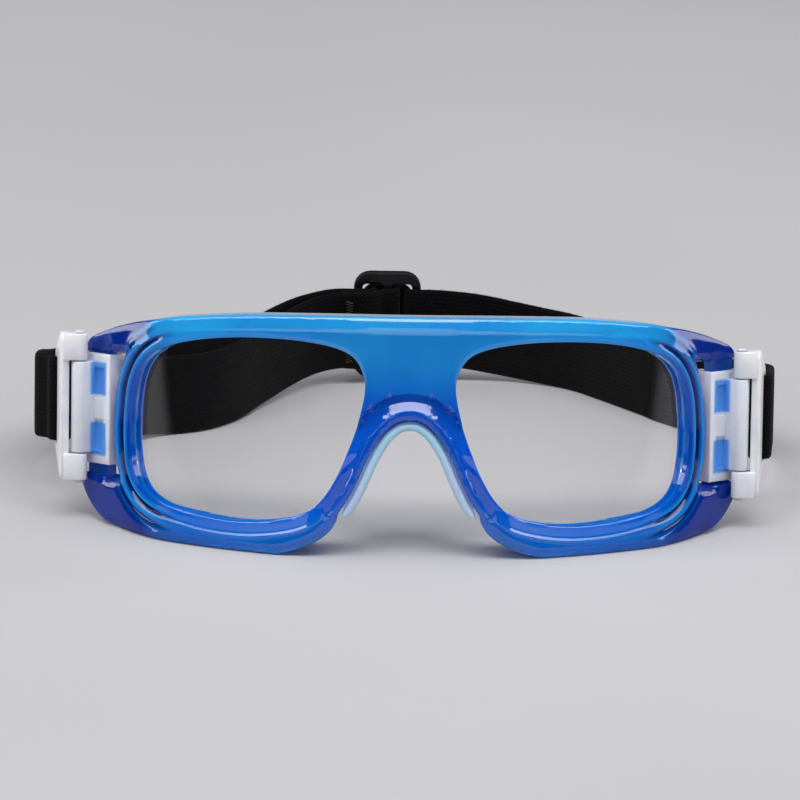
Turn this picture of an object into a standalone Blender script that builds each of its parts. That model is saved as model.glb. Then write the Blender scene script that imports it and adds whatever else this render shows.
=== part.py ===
"""Sports protective goggles with a wrap-round translucent frame, frosted swivel clips and an elastic head strap.

Metres, +Z up, +X along the width, -Y is the front. Each solid object in the scene is one subcomponent.
The frame is drawn flat, as u (length along the wrap), z (height) and d (depth towards the face), then bent
round the wrap curve and leaned back so that its whole lower edge rests on the floor."""

import math

import bmesh
import bpy
from mathutils import Matrix, Vector
from mathutils.geometry import delaunay_2d_cdt

for old in list(bpy.data.objects):
    bpy.data.objects.remove(old, do_unlink=True)

MM = 0.001

# ---- overall placing -------------------------------------------------------------------------------------
LEAN_DEG = 11.0  # the front leans back by this much when it stands on its lower edge
FLOOR_LIFT = 1.42  # raises the leaned frame so that the lower edge touches the floor, mm
Y_MIDDLE = 71.9  # half way between the front of the rims and the back of the strap, mm

# ---- the wrap curve of the frame, in plan -----------------------------------------------------------------
WRAP_R = 150.0  # radius of the front, mm
WRAP_DEG = 22.0  # half angle of the front arc
TURN_R = 30.0  # radius of the turn beside each lens
ARM_DEG = 45.0  # sweep of the straight arms

# ---- frame ------------------------------------------------------------------------------------------------
TOP_Z = 55.2  # height of the top edge at the middle
FRAME_DEPTH = 8.0  # depth of the rims and of the brow
ARM_DEPTH = 4.8  # depth of the arms beside the clips
ARM_THIN_U0, ARM_THIN_U1 = 63.0, 75.0  # the depth eases from the one to the other over this length
ARM_END_U = 85.3  # where the arms end, along the wrap
BEZEL_W, BEZEL_D = 3.4, 1.5  # sloped ring round each lens
BROW_BAND, BROW_DROP = 3.3, 1.1  # sloped band along the top edge
LOWER_BAND, LOWER_DROP = 2.0, 0.8  # sloped band along the lower edge
ARCH_DROP = 2.0  # depth of the crescent over the nose
ARCH_LEG_W, ARCH_TOP_W = 2.3, 6.5  # its width down the legs and over the top
BAR_U0, BAR_U1 = 77.3, 84.6  # the upright bar that carries the clip
BAR_Z0, BAR_Z1 = 14.6, 43.4
BAR_D0, BAR_D1 = 2.0, 4.2

# ---- lenses -----------------------------------------------------------------------------------------------
LENS_D0, LENS_D1 = 3.05, 4.95  # 1.9 mm thick
GROOVE_D0, GROOVE_D1 = 2.8, 5.2
GROOVE_DEEP = 1.3
LENS_INTO_GROOVE = 0.95
LENS_STRIP = 3.1  # width of the flat strips that the lens is bent in

# ---- nose pad ---------------------------------------------------------------------------------------------
PAD_T = 1.55
PAD_SEAT = 2.05  # from the middle line of the pad to the arch of the frame

# ---- clip, swivel buckle and pins ---------------------------------------------------------------------------
GAP = 0.3
CLIP_H = 26.0
CLIP_MID_Z = 29.0
CLIP_RISE = {"left": 1.0, "right": -1.0}  # each clip can slide on its bar, and stands here at rest
CLIP_WALL = 1.0
FLANGE_U, FLANGE_BACK, FLANGE_T = 72.6, 0.7, 1.0  # reaches behind the side of the rim, clear of it
POCKET_D, POCKET_H, POCKET_Z = 0.55, 7.2, 6.1  # shallow windows above and below the middle band
MOUTH_U0, MOUTH_U1 = 79.6, 82.6  # the clip snaps on through this opening at the back
HINGE_U, HINGE_D = 83.24, -2.3
KNUCKLE_R, KNUCKLE_H = 1.9, 6.3
PIN_R, PIN_HOLE_R = 0.75, 1.0
BUCKLE_UP = 0.4  # middle of the buckle above the middle of the clip
BUCKLE_H_FRONT, BUCKLE_H_BACK = 34.6, 25.4
PLATE_T = 1.9
PLATE_LONG = 18.6
PLATE_DEG = 8.0
PLATE_X, PLATE_Y = 80.7, 24.5
SLOT_T0, SLOT_T1, SLOT_H = 12.4, 15.8, 21.4

# ---- strap and slider ---------------------------------------------------------------------------------------
STRAP_W, STRAP_T = 20.0, 1.5
SLIDER_X, SLIDER_Y, SLIDER_Z = -6.0, 136.4, 14.1
SLIDER_W, SLIDER_H, SLIDER_T = 17.0, 28.0, 2.2
SLIDER_RAIL, SLIDER_BAR, SLIDER_SLOT_H = 2.2, 2.6, 21.6

LEAN = math.radians(LEAN_DEG)
A1, A2 = math.radians(WRAP_DEG), math.radians(ARM_DEG)
U1 = WRAP_R * A1
U2 = U1 + TURN_R * (A2 - A1)
X1, Y1 = WRAP_R * math.sin(A1), WRAP_R * (1 - math.cos(A1))
X2 = X1 + TURN_R * (math.sin(A2) - math.sin(A1))
Y2 = Y1 + TURN_R * (math.cos(A1) - math.cos(A2))


def wrap(u):
    """Point on the wrap curve and its outward normal, in plan."""
    s, a = (1 if u >= 0 else -1), abs(u)
    if a < U1:
        t = a / WRAP_R
        x, y = WRAP_R * math.sin(t), WRAP_R * (1 - math.cos(t))
    elif a < U2:
        t = A1 + (a - U1) / TURN_R
        x = X1 + TURN_R * (math.sin(t) - math.sin(A1))
        y = Y1 + TURN_R * (math.cos(A1) - math.cos(t))
    else:
        t = A2
        x, y = X2 + (a - U2) * math.cos(A2), Y2 + (a - U2) * math.sin(A2)
    return s * x, y, s * math.sin(t), -math.cos(t)


def u_at(x):
    """Length along the wrap at a distance x from the middle."""
    if x < X1:
        return WRAP_R * math.asin(x / WRAP_R)
    if x < X2:
        return U1 + TURN_R * (math.asin(math.sin(A1) + (x - X1) / TURN_R) - A1)
    return U2 + (x - X2) / math.cos(A2)


UPRIGHT = Matrix.Translation((0, -Y_MIDDLE * MM, FLOOR_LIFT * MM)) @ Matrix.Rotation(-LEAN, 4, "X")


def stand(x, y, z):
    """Upright millimetres to leaned, standing metres."""
    return Vector(
        (
            x * MM,
            (y * math.cos(LEAN) + z * math.sin(LEAN) - Y_MIDDLE) * MM,
            (-y * math.sin(LEAN) + z * math.cos(LEAN) + FLOOR_LIFT) * MM,
        )
    )


def bent(u, z, d):
    x, y, nx, ny = wrap(u)
    return stand(x - nx * d, y - ny * d, z)


def floor_z(u):
    """Height of the lower edge, upright, at which the leaned frame touches the floor."""
    return (wrap(u)[1] * math.sin(LEAN) - FLOOR_LIFT) / math.cos(LEAN) + 0.02


# ---- collections, materials and joint empties ----------------------------------------------------------------
PARTS = bpy.data.collections.new("sports_goggles")
CUTTERS = bpy.data.collections.new("cutters")
for group in (PARTS, CUTTERS):
    bpy.context.scene.collection.children.link(group)


def principled(name, colour, roughness, transmission=0.0, alpha=1.0):
    mat = bpy.data.materials.new(name)
    mat.use_nodes = True
    shader = mat.node_tree.nodes["Principled BSDF"]
    shader.inputs["Base Color"].default_value = (*colour, 1.0)
    shader.inputs["Roughness"].default_value = roughness
    shader.inputs["Transmission Weight"].default_value = transmission
    shader.inputs["Alpha"].default_value = alpha
    mat.diffuse_color = (*colour, alpha)
    return mat


BLUE = principled("frame_blue", (0.01, 0.16, 0.62), 0.06, transmission=0.6)
CLEAR = principled("lens_clear", (0.95, 0.98, 1.0), 0.02, transmission=1.0, alpha=0.3)
SILICONE = principled("pad_silicone", (0.25, 0.52, 0.9), 0.35, transmission=0.3)
FROSTED = principled("clip_frosted", (0.78, 0.82, 0.92), 0.4, transmission=0.2)
WEBBING = principled("strap_black", (0.012, 0.012, 0.015), 0.9)
SLIDER_GREY = principled("slider_grey", (0.05, 0.05, 0.055), 0.35)
THREAD = principled("thread_black", (0.02, 0.02, 0.022), 0.8)


def joint_empty(name, matrix):
    marker = bpy.data.objects.new(name, None)
    marker.empty_display_size = 0.01
    marker.matrix_world = matrix
    PARTS.objects.link(marker)
    return marker


def add(name, mesh, mat=None, matrix=None, parent=None):
    """A part in its collection, placed by its matrix and held by its parent; without a material it is a cutter."""
    obj = bpy.data.objects.new(name, mesh)
    (PARTS if mat else CUTTERS).objects.link(obj)
    if matrix is not None:
        obj.matrix_world = matrix
    if parent is not None:
        obj.parent = parent
        obj.matrix_parent_inverse = parent.matrix_world.inverted()
    if mat:
        mesh.materials.clear()
        mesh.materials.append(mat)
        mesh.shade_smooth()
        mesh.set_sharp_from_angle(angle=math.radians(32))
    else:
        obj.hide_render = True
        obj.display_type = "WIRE"
    return obj


def tidied(work, name):
    """The mesh of a bmesh, welded and facing out."""
    bmesh.ops.remove_doubles(work, verts=work.verts, dist=2e-6)
    bmesh.ops.recalc_face_normals(work, faces=work.faces)
    if work.calc_volume(signed=True) < 0:
        bmesh.ops.reverse_faces(work, faces=work.faces)
    mesh = bpy.data.meshes.new(name)
    work.to_mesh(mesh)
    work.free()
    return mesh


def flat_mesh(name, outlines, half, bevel=0.0):
    """A flat outline with its holes, in millimetres, as a 2D curve with an extrude and a rounded edge, made a mesh."""
    curve = bpy.data.curves.new(name, "CURVE")
    curve.dimensions = "2D"
    curve.fill_mode = "BOTH"
    curve.extrude = (half - bevel) * MM
    curve.bevel_depth = bevel * MM
    curve.bevel_resolution = 1
    curve.offset = -bevel * MM
    for line in outlines:
        spline = curve.splines.new("POLY")
        spline.points.add(len(line) - 1)
        for point, (x, y) in zip(spline.points, line):
            point.co = (x * MM, y * MM, 0.0, 1.0)
        spline.use_cyclic_u = True
    holder = bpy.data.objects.new(name, curve)
    bpy.context.scene.collection.objects.link(holder)
    graph = bpy.context.evaluated_depsgraph_get()
    mesh = bpy.data.meshes.new_from_object(holder.evaluated_get(graph))
    bpy.data.objects.remove(holder, do_unlink=True)
    bpy.data.curves.remove(curve)
    work = bmesh.new()
    work.from_mesh(mesh)
    bpy.data.meshes.remove(mesh)
    return tidied(work, name)


def cylinder_mesh(name, radius, low, high, sides=20):
    work = bmesh.new()
    bmesh.ops.create_cone(
        work, cap_ends=True, segments=sides, radius1=radius * MM, radius2=radius * MM,
        depth=(high - low) * MM, matrix=Matrix.Translation((0, 0, 0.5 * (low + high) * MM)),
    )  # fmt: skip
    return tidied(work, name)


def box_mesh(name, low, high):
    work = bmesh.new()
    size = [(b - a) * MM for a, b in zip(low, high)]
    middle = [0.5 * (a + b) * MM for a, b in zip(low, high)]
    bmesh.ops.create_cube(
        work, size=1.0, matrix=Matrix.Translation(middle) @ Matrix.Diagonal((*size, 1.0))
    )
    return tidied(work, name)


def boolean(obj, other, how):
    step = obj.modifiers.new(other.name, "BOOLEAN")
    step.operation, step.object, step.solver = how, other, "EXACT"


def smooth_closed(points, step):
    """Closed smooth curve through the points, sampled about every step."""
    out, n = [], len(points)
    for i in range(n):
        p0, p1, p2, p3 = (points[(i + k - 1) % n] for k in range(4))
        count = max(2, round(math.dist(p1, p2) / step))
        for j in range(count):
            out.append(spline(p0, p1, p2, p3, j / count))
    return out


def spline(p0, p1, p2, p3, t):
    return tuple(
        0.5
        * (
            2 * b
            + (c - a) * t
            + (2 * a - 5 * b + 4 * c - d) * t * t
            + (3 * b - a - 3 * c + d) * t**3
        )
        for a, b, c, d in zip(p0, p1, p2, p3)
    )


def smooth_open(points, step):
    """Open smooth curve through the points."""
    ends = [tuple(2 * a - b for a, b in zip(points[0], points[1]))]
    tail = [tuple(2 * a - b for a, b in zip(points[-1], points[-2]))]
    all_points = ends + list(points) + tail
    out = []
    for i in range(1, len(all_points) - 2):
        p0, p1, p2, p3 = all_points[i - 1 : i + 3]
        count = max(1, round(math.dist(p1, p2) / step))
        for j in range(count):
            out.append(spline(p0, p1, p2, p3, j / count))
    return out + [tuple(points[-1])]


def offset(points, by, closed=True):
    """Each point moved to the right of travel by this much."""
    out, n = [], len(points)
    for i, p in enumerate(points):
        a = points[i - 1] if closed or i else p
        b = points[(i + 1) % n] if closed or i < n - 1 else p
        tx, ty = b[0] - a[0], b[1] - a[1]
        length = math.hypot(tx, ty) or 1.0
        out.append((p[0] + by * ty / length, p[1] - by * tx / length))
    return out


def area(points):
    return 0.5 * sum(
        a[0] * b[1] - b[0] * a[1] for a, b in zip(points, points[1:] + points[:1])
    )


def nearest(p, points, closed=True):
    """Distance from a point to a line through the points."""
    best = 1e9
    pairs = zip(points, points[1:] + points[:1]) if closed else zip(points, points[1:])
    for a, b in pairs:
        ax, ay = p[0] - a[0], p[1] - a[1]
        bx, by = b[0] - a[0], b[1] - a[1]
        t = max(0.0, min(1.0, (ax * bx + ay * by) / (bx * bx + by * by + 1e-12)))
        best = min(best, (ax - t * bx) ** 2 + (ay - t * by) ** 2)
    return math.sqrt(best)


def inside(p, points):
    found = False
    for a, b in zip(points, points[1:] + points[:1]):
        if (a[1] > p[1]) != (b[1] > p[1]) and p[0] < a[0] + (p[1] - a[1]) * (
            b[0] - a[0]
        ) / (b[1] - a[1]):
            found = not found
    return found


# ---- outlines, for the half with positive u ------------------------------------------------------------------
LENS_XZ = [
    (10.5, 38.0), (10.9, 42.0), (13.2, 45.9), (17.5, 48.0), (24.0, 49.2), (31.0, 49.7),
    (38.0, 49.7), (45.0, 49.2), (52.0, 48.0), (57.9, 46.0), (62.3, 42.6), (64.8, 37.2),
    (65.7, 30.5), (65.8, 23.5), (65.0, 17.2), (62.5, 12.6), (58.0, 9.8), (52.0, 8.1),
    (45.5, 6.9), (38.0, 6.5), (31.0, 7.2), (25.2, 8.8), (20.7, 12.0), (17.2, 17.2),
    (14.3, 24.0), (11.8, 31.5),
]  # fmt: skip
ARCH_HALF = [
    (0.0, 29.5), (2.3, 28.9), (4.6, 26.9), (6.9, 23.4), (8.7, 19.7), (10.3, 16.0),
    (12.2, 12.2), (14.6, 8.5),
]  # fmt: skip
TOP_EDGE = [
    (0.0, TOP_Z), (14.0, TOP_Z), (24.0, 55.1), (38.0, 54.8), (46.0, 54.3), (53.0, 53.7),
    (58.5, 53.1), (64.8, 52.0), (69.6, 51.1), (75.1, 49.7), (80.0, 48.1), (83.4, 46.8),
    (84.8, 45.6), (ARM_END_U, 44.6),
]  # fmt: skip
ARM_FOOT = [
    (ARM_END_U, 13.9), (85.2, 12.3), (84.0, 9.9), (82.0, 7.4), (79.4, 5.2), (76.8, 3.8),
]  # fmt: skip
RIM_SIDE = [
    (73.2, 14.5), (74.4, 18.0), (75.3, 22.0), (75.6, 26.5), (75.3, 31.5), (74.3, 36.5),
    (73.0, 40.3), (71.4, 43.7),
]  # fmt: skip

lens_right = smooth_closed([(u_at(x), z) for x, z in LENS_XZ], 1.7)
if area(lens_right) < 0:
    lens_right.reverse()
arch_points = [(-x, z) for x, z in reversed(ARCH_HALF[1:])] + ARCH_HALF
arch_inner = smooth_open(arch_points, 1.6)  # from -u to +u, over the nose
arch_frame = offset(arch_inner, -PAD_SEAT, closed=False)

top_half = smooth_open(TOP_EDGE, 2.2)
foot = smooth_open(ARM_FOOT, 1.6)
lower = []
u = 74.2
while u > 31.5:
    lower.append((u, floor_z(u)))
    u -= 2.2
lower += smooth_open(
    [(30.9, floor_z(30.9)), (27.8, -0.1), (23.8, 1.4), (20.5, 3.3), (18.2, 5.4), (16.9, 7.6)],
    1.5,
)
right_half = (
    top_half
    + [(ARM_END_U, BAR_Z1 + 0.5), (BAR_U1, BAR_Z1)]
    + [(BAR_U1, BAR_Z1 - k * (BAR_Z1 - BAR_Z0) / 12) for k in range(1, 13)]
    + [(ARM_END_U, BAR_Z0 - 0.5)]
    + foot
    + lower
)
arch_down = [p for p in reversed(arch_frame) if p[0] > 1e-6]
half = right_half + arch_down
outline = half + [(0.0, arch_frame[len(arch_frame) // 2][1])]
outline += [(-a, b) for a, b in reversed(half[1:])]
window = smooth_open(RIM_SIDE, 1.8)
window = window + [(74.4, 43.6)]
window += [(BAR_U0, BAR_Z1 - k * (BAR_Z1 - BAR_Z0) / 12) for k in range(0, 13)]


def mirrored(points):
    return [(-a, b) for a, b in reversed(points)]


def top_z(u):
    a = abs(u)
    for p, q in zip(top_half, top_half[1:]):
        if p[0] <= a <= q[0]:
            return p[1] + (q[1] - p[1]) * (a - p[0]) / max(1e-9, q[0] - p[0])
    return top_half[-1][1]


def ramp(a, b, x):
    t = max(0.0, min(1.0, (x - a) / (b - a)))
    return t * t * (3 - 2 * t)


def arch_width(z):
    return ARCH_LEG_W + (ARCH_TOP_W - ARCH_LEG_W) * ramp(19.0, 33.0, z)


right_arch = [p for p in arch_frame if p[0] >= -1e-6]
arch_line = offset(arch_inner, -(PAD_SEAT + ARCH_LEG_W), closed=False)
crescent = []
for p, q in zip(arch_frame, arch_line):
    w = arch_width(p[1]) / ARCH_LEG_W
    crescent.append((p[0] + (q[0] - p[0]) * w, p[1] + (q[1] - p[1]) * w))


def front_depth(u, z):
    a = abs(u)
    if BAR_U0 - 0.6 < a and BAR_Z0 - 0.5 < z < BAR_Z1 + 0.5:
        t = max(ramp(BAR_Z1, BAR_Z1 + 0.5, z), ramp(-BAR_Z0, -BAR_Z0 + 0.5, -z))
        return BAR_D0 * (1 - t) + 0.35 * t
    d = 0.0
    e = nearest((a, z), lens_right)
    d = max(d, BEZEL_D * (1 - e / BEZEL_W))
    h = top_z(u) - z
    if z > 40:
        d = max(d, BROW_DROP * (1 - h / BROW_BAND))
    if z < 18:
        g = nearest((a, z), right_half[len(top_half) :], closed=False)
        d = max(d, LOWER_DROP * (1 - g / LOWER_BAND))
    if a > 64:
        g = nearest((a, z), window)
        d = max(d, 1.0 * (1 - g / 1.5))
    if a < 20 and z > 7:
        g = nearest((a, z), right_arch, closed=False)
        w = arch_width(z)
        d = max(d, ARCH_DROP * ramp(w, 0.0, g) if g < w else 0.0)
    return d


def back_depth(u, z):
    a = abs(u)
    full = FRAME_DEPTH + (ARM_DEPTH - FRAME_DEPTH) * ramp(ARM_THIN_U0, ARM_THIN_U1, a)
    if BAR_U0 - 0.6 < a and BAR_Z0 - 0.5 < z < BAR_Z1 + 0.5:
        t = max(ramp(BAR_Z1, BAR_Z1 + 0.5, z), ramp(-BAR_Z0, -BAR_Z0 + 0.5, -z))
        return BAR_D1 * (1 - t) + full * t
    g = min(nearest((a, z), lens_right), nearest((a, z), half, closed=False))
    if a > 60:
        g = min(g, nearest((a, z), window))
    return full - 0.7 * (1 - min(1.0, g / 1.4))


def build_frame():
    """The one moulding of rims, brow, bridge, arms and upright bars: a relief over its flat outline, then bent."""
    loops = [outline, lens_right, mirrored(lens_right), window, mirrored(window)]
    points, edges = [], []
    for loop in loops:
        first, n = len(points), len(loop)
        points.extend(loop)
        edges.extend((first + i, first + (i + 1) % n) for i in range(n))
    borders = [(lens_right, True), (window, True), (half, False)]
    creases = []

    def crease(line, clear=0.55):
        """A line that the relief folds along, kept clear of the borders and of the other creases."""
        for side in (1, -1):
            previous = None
            for p in line:
                q = (side * p[0], p[1])
                near_border = any(nearest(p, loop, shut) < clear for loop, shut in borders)
                taken = any(math.dist(q, other) < 0.6 for other in creases)
                if p[0] < -1e-6 or near_border or taken or not inside(p, outline):
                    previous = None
                    continue
                creases.append(q)
                points.append(q)
                if previous is not None:
                    edges.append((previous, len(points) - 1))
                previous = len(points) - 1

    crease(offset(lens_right, BEZEL_W if area(lens_right) > 0 else -BEZEL_W))
    crease([(k * 1.7, top_z(k * 1.7) - BROW_BAND) for k in range(0, 46)])
    crease([p for p in crescent if p[0] >= -1e-6])
    crease([p for p in offset(list(reversed(lower)), LOWER_BAND, closed=False)])
    for level in (BAR_Z1, BAR_Z1 + 0.5, BAR_Z0, BAR_Z0 - 0.5):
        for k in range(1, 6):
            u = BAR_U0 + 0.3 + (BAR_U1 - BAR_U0) * k / 6
            points.extend([(u, level), (-u, level)])
    # an even scatter of points keeps the bent faces smooth
    for i in range(-45, 46):
        for j in range(22):
            p = (i * 1.9, 0.9 + j * 2.5)
            a = (abs(p[0]), p[1])
            if not inside(p, outline) or inside(a, lens_right) or inside(a, window):
                continue
            if any(nearest(a, loop, shut) < 0.9 for loop, shut in borders):
                continue
            if any(math.dist(p, q) < 1.1 for q in creases):
                continue
            points.append(p)
    found = delaunay_2d_cdt([Vector(p) for p in points], edges, [], 0, 1e-5, True)
    verts, cells, sources = found[0], found[2], found[3]
    flat = [(v.x, v.y) for v in verts]
    kept = []
    for cell in cells:
        c = (
            sum(flat[i][0] for i in cell) / 3,
            sum(flat[i][1] for i in cell) / 3,
        )
        a = (abs(c[0]), c[1])
        if inside(c, outline) and not inside(a, lens_right) and not inside(a, window):
            kept.append(tuple(cell))
    place_of = {}
    for new, olds in enumerate(sources):
        for o in olds:
            place_of[o] = new

    out, faces = [], []

    def lift(u, z, d):
        low = floor_z(abs(u))
        return z + math.tan(LEAN) * d * max(0.0, 1 - (z - low) / 9.0)

    def vertex(u, z, d):
        out.append(bent(u, lift(u, z, d), d))
        return len(out) - 1

    used = sorted({i for cell in kept for i in cell})
    front = {i: vertex(*flat[i], front_depth(*flat[i])) for i in used}
    back = {i: vertex(*flat[i], back_depth(*flat[i])) for i in used}
    for a, b, c in kept:
        faces.append((front[a], front[b], front[c]))
        faces.append((back[c], back[b], back[a]))
    start = 0
    for k, loop in enumerate(loops):
        ids = [place_of[start + i] for i in range(len(loop))]
        start += len(loop)
        rings = [[front[i] for i in ids]]
        if k in (1, 2):
            side = offset(loop, GROOVE_DEEP if area(loop) > 0 else -GROOVE_DEEP)
            for line, d in (
                (loop, GROOVE_D0),
                (side, GROOVE_D0),
                (side, GROOVE_D1),
                (loop, GROOVE_D1),
            ):
                rings.append([vertex(p[0], p[1], d) for p in line])
        else:
            mids = []
            for i in ids:
                d0, d1 = front_depth(*flat[i]), back_depth(*flat[i])
                mids.append(vertex(*flat[i], 0.5 * (d0 + d1)))
            rings.append(mids)
        rings.append([back[i] for i in ids])
        n = len(ids)
        for one, two in zip(rings, rings[1:]):
            for i in range(n):
                j = (i + 1) % n
                faces.append((one[i], one[j], two[j]))
                faces.append((one[i], two[j], two[i]))
    work = bmesh.new()
    placed = [work.verts.new(p) for p in out]
    for face in faces:
        if len(set(face)) == 3:
            work.faces.new([placed[i] for i in face])
    return add("front_frame", tidied(work, "front_frame"), BLUE)


def lens(name, side):
    """A flat blank of the lens outline, cut into strips and bent round the wrap."""
    edge = offset(lens_right, LENS_INTO_GROOVE if area(lens_right) > 0 else -LENS_INTO_GROOVE)
    blank = flat_mesh(name, [[(side * u, z) for u, z in edge[::2]]], (LENS_D1 - LENS_D0) / 2, 0.15)
    work = bmesh.new()
    work.from_mesh(blank)
    bpy.data.meshes.remove(blank)
    for k in range(1, 24):
        everything = work.verts[:] + work.edges[:] + work.faces[:]
        cut_at = (side * LENS_STRIP * k * MM, 0, 0)
        bmesh.ops.bisect_plane(work, geom=everything, plane_co=cut_at, plane_no=(1, 0, 0), dist=1e-7)
    bmesh.ops.triangulate(work, faces=work.faces)
    for v in work.verts:
        u, z, d = v.co / MM
        v.co = bent(u, z, (LENS_D0 + LENS_D1) / 2 + d)
    return add(name, tidied(work, name), CLEAR)


def shell(name, rows, thickness, mat, parent=None, offset_side=0.0):
    """An open grid drawn through rows of points, with Solidify."""
    work = bmesh.new()
    bmesh.ops.create_grid(work, x_segments=len(rows[0]) - 1, y_segments=len(rows) - 1, size=0.01)
    for v, p in zip(work.verts, [p for row in rows for p in row]):
        v.co = p
    mesh = bpy.data.meshes.new(name)
    work.to_mesh(mesh)
    work.free()
    obj = add(name, mesh, mat, parent=parent)
    solid = obj.modifiers.new("thickness", "SOLIDIFY")
    solid.thickness, solid.offset, solid.use_even_offset = thickness * MM, offset_side, True
    return obj


def nose_pad():
    """Soft saddle lining the arch: a web inside the frame, and a lip that flares behind it."""
    middle = [(0.95, 0.7), (0.9, 3.5), (0.9, 6.4), (1.0, 8.6), (1.9, 9.7), (3.2, 10.3), (4.5, 10.5)]
    path = smooth_open(arch_points[:], 1.5)
    n = len(path)
    rows = []
    for i, p in enumerate(path):
        a, b = path[max(0, i - 1)], path[min(n - 1, i + 1)]
        tx, tz = b[0] - a[0], b[1] - a[1]
        length = math.hypot(tx, tz)
        nx, nz = -tz / length, tx / length
        end = min(1.0, 0.45 + min(i, n - 1 - i) / 3.0)
        row = []
        for m, d in middle:
            wide = m if m <= 1.0 else 1.0 + (m - 1.0) * end
            row.append(bent(p[0] + nx * wide, p[1] + nz * wide, d))
        rows.append(row)
    return shell("nose_pad", rows, PAD_T, SILICONE)


def half_round(x, y, r, towards, n=12):
    """A half circle about (x, y) on the side away from the direction given, in degrees."""
    first = math.radians(towards + 90)
    turns = [first + math.pi * j / n for j in range(n + 1)]
    return [(x + r * math.cos(t), y + r * math.sin(t)) for t in turns]


def hinge_xy():
    x, y, nx, ny = wrap(HINGE_U)
    return x - nx * HINGE_D, y - ny * HINGE_D


def clip(side):
    """C-shaped frosted clip round the upright bar, with two shallow windows, a hinge barrel, and a flange that
    reaches behind the side of the rim."""
    sign = 1 if side == "right" else -1
    mid = CLIP_MID_Z + CLIP_RISE[side]
    middle_u, middle_d = (BAR_U0 + BAR_U1) / 2, (BAR_D0 + BAR_D1) / 2
    arm = Matrix.Translation((sign * X2 * MM, Y2 * MM, 0)) @ Matrix.Rotation(sign * A2, 4, "Z")
    at = UPRIGHT @ arm @ Matrix.Translation((sign * (middle_u - U2) * MM, middle_d * MM, mid * MM))
    slide = joint_empty(f"{side}_clip_slide", at)

    def flat(points):
        return [(sign * (u - middle_u), d - middle_d) for u, d in points]

    wall = GAP + CLIP_WALL
    u0, u1, d0, d1 = BAR_U0 - wall, BAR_U1 + wall, BAR_D0 - wall, BAR_D1 + wall
    v0, v1, e0, e1 = BAR_U0 - GAP, BAR_U1 + GAP, BAR_D0 - GAP, BAR_D1 + GAP
    back = d1 + FLANGE_BACK
    c_shape = [
        (u0, d0), (u1, d0), (u1, d1), (MOUTH_U1, d1), (MOUTH_U1, e1), (v1, e1), (v1, e0), (v0, e0),
        (v0, e1), (MOUTH_U0, e1), (MOUTH_U0, back + FLANGE_T), (FLANGE_U, back + FLANGE_T),
        (FLANGE_U, back), (u0, back),
    ]  # fmt: skip
    name = f"{side}_clip"
    body = add(name, flat_mesh(name, [flat(c_shape)], CLIP_H / 2, 0.22), FROSTED, at, slide)
    for k, middle in enumerate((-POCKET_Z, POCKET_Z)):
        (x0, y0), (x1, y1) = flat([(78.2, d0 - 1.0), (83.4, d0 + POCKET_D)])
        low = (min(x0, x1), y0, middle - POCKET_H / 2)
        high = (max(x0, x1), y1, middle + POCKET_H / 2)
        name = f"{side}_clip_pocket{k}"
        boolean(body, add(name, box_mesh(name, low, high), None, at), "DIFFERENCE")
    # barrel that fills the space between the two knuckles of the buckle
    half_barrel = BUCKLE_H_FRONT / 2 - KNUCKLE_H - GAP
    barrel = half_round(HINGE_U, HINGE_D, KNUCKLE_R, 90)
    barrel += [(HINGE_U + KNUCKLE_R, d0 + 0.5), (HINGE_U - KNUCKLE_R, d0 + 0.5)]
    place = at @ Matrix.Translation((0, 0, BUCKLE_UP * MM))
    name = f"{side}_clip_barrel"
    boolean(body, add(name, flat_mesh(name, [flat(barrel)], half_barrel, 0.2), None, place), "UNION")
    hx, hy = flat([(HINGE_U, HINGE_D)])[0]
    name = f"{side}_clip_bore"
    bore = place @ Matrix.Translation((hx * MM, hy * MM, 0))
    bore_mesh = cylinder_mesh(name, PIN_HOLE_R, -half_barrel - 1, half_barrel + 1)
    boolean(body, add(name, bore_mesh, None, bore), "DIFFERENCE")
    return slide


def plate_frame(side):
    """Origin, direction and outward normal of the buckle plate in plan."""
    sign = 1 if side == "right" else -1
    t = math.radians(PLATE_DEG)
    return (
        (sign * PLATE_X, PLATE_Y),
        (sign * math.sin(t), math.cos(t)),
        (sign * math.cos(t), -math.sin(t)),
    )


def rounded(x0, x1, y0, y1, r, n=5):
    """A rectangle with round corners."""
    out = []
    corners = ((x1 - r, y1 - r, 0), (x0 + r, y1 - r, 90), (x0 + r, y0 + r, 180), (x1 - r, y0 + r, 270))
    for cx, cy, first in corners:
        turns = [math.radians(first + 90 * j / n) for j in range(n + 1)]
        out += [(cx + r * math.cos(t), cy + r * math.sin(t)) for t in turns]
    return out


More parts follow.
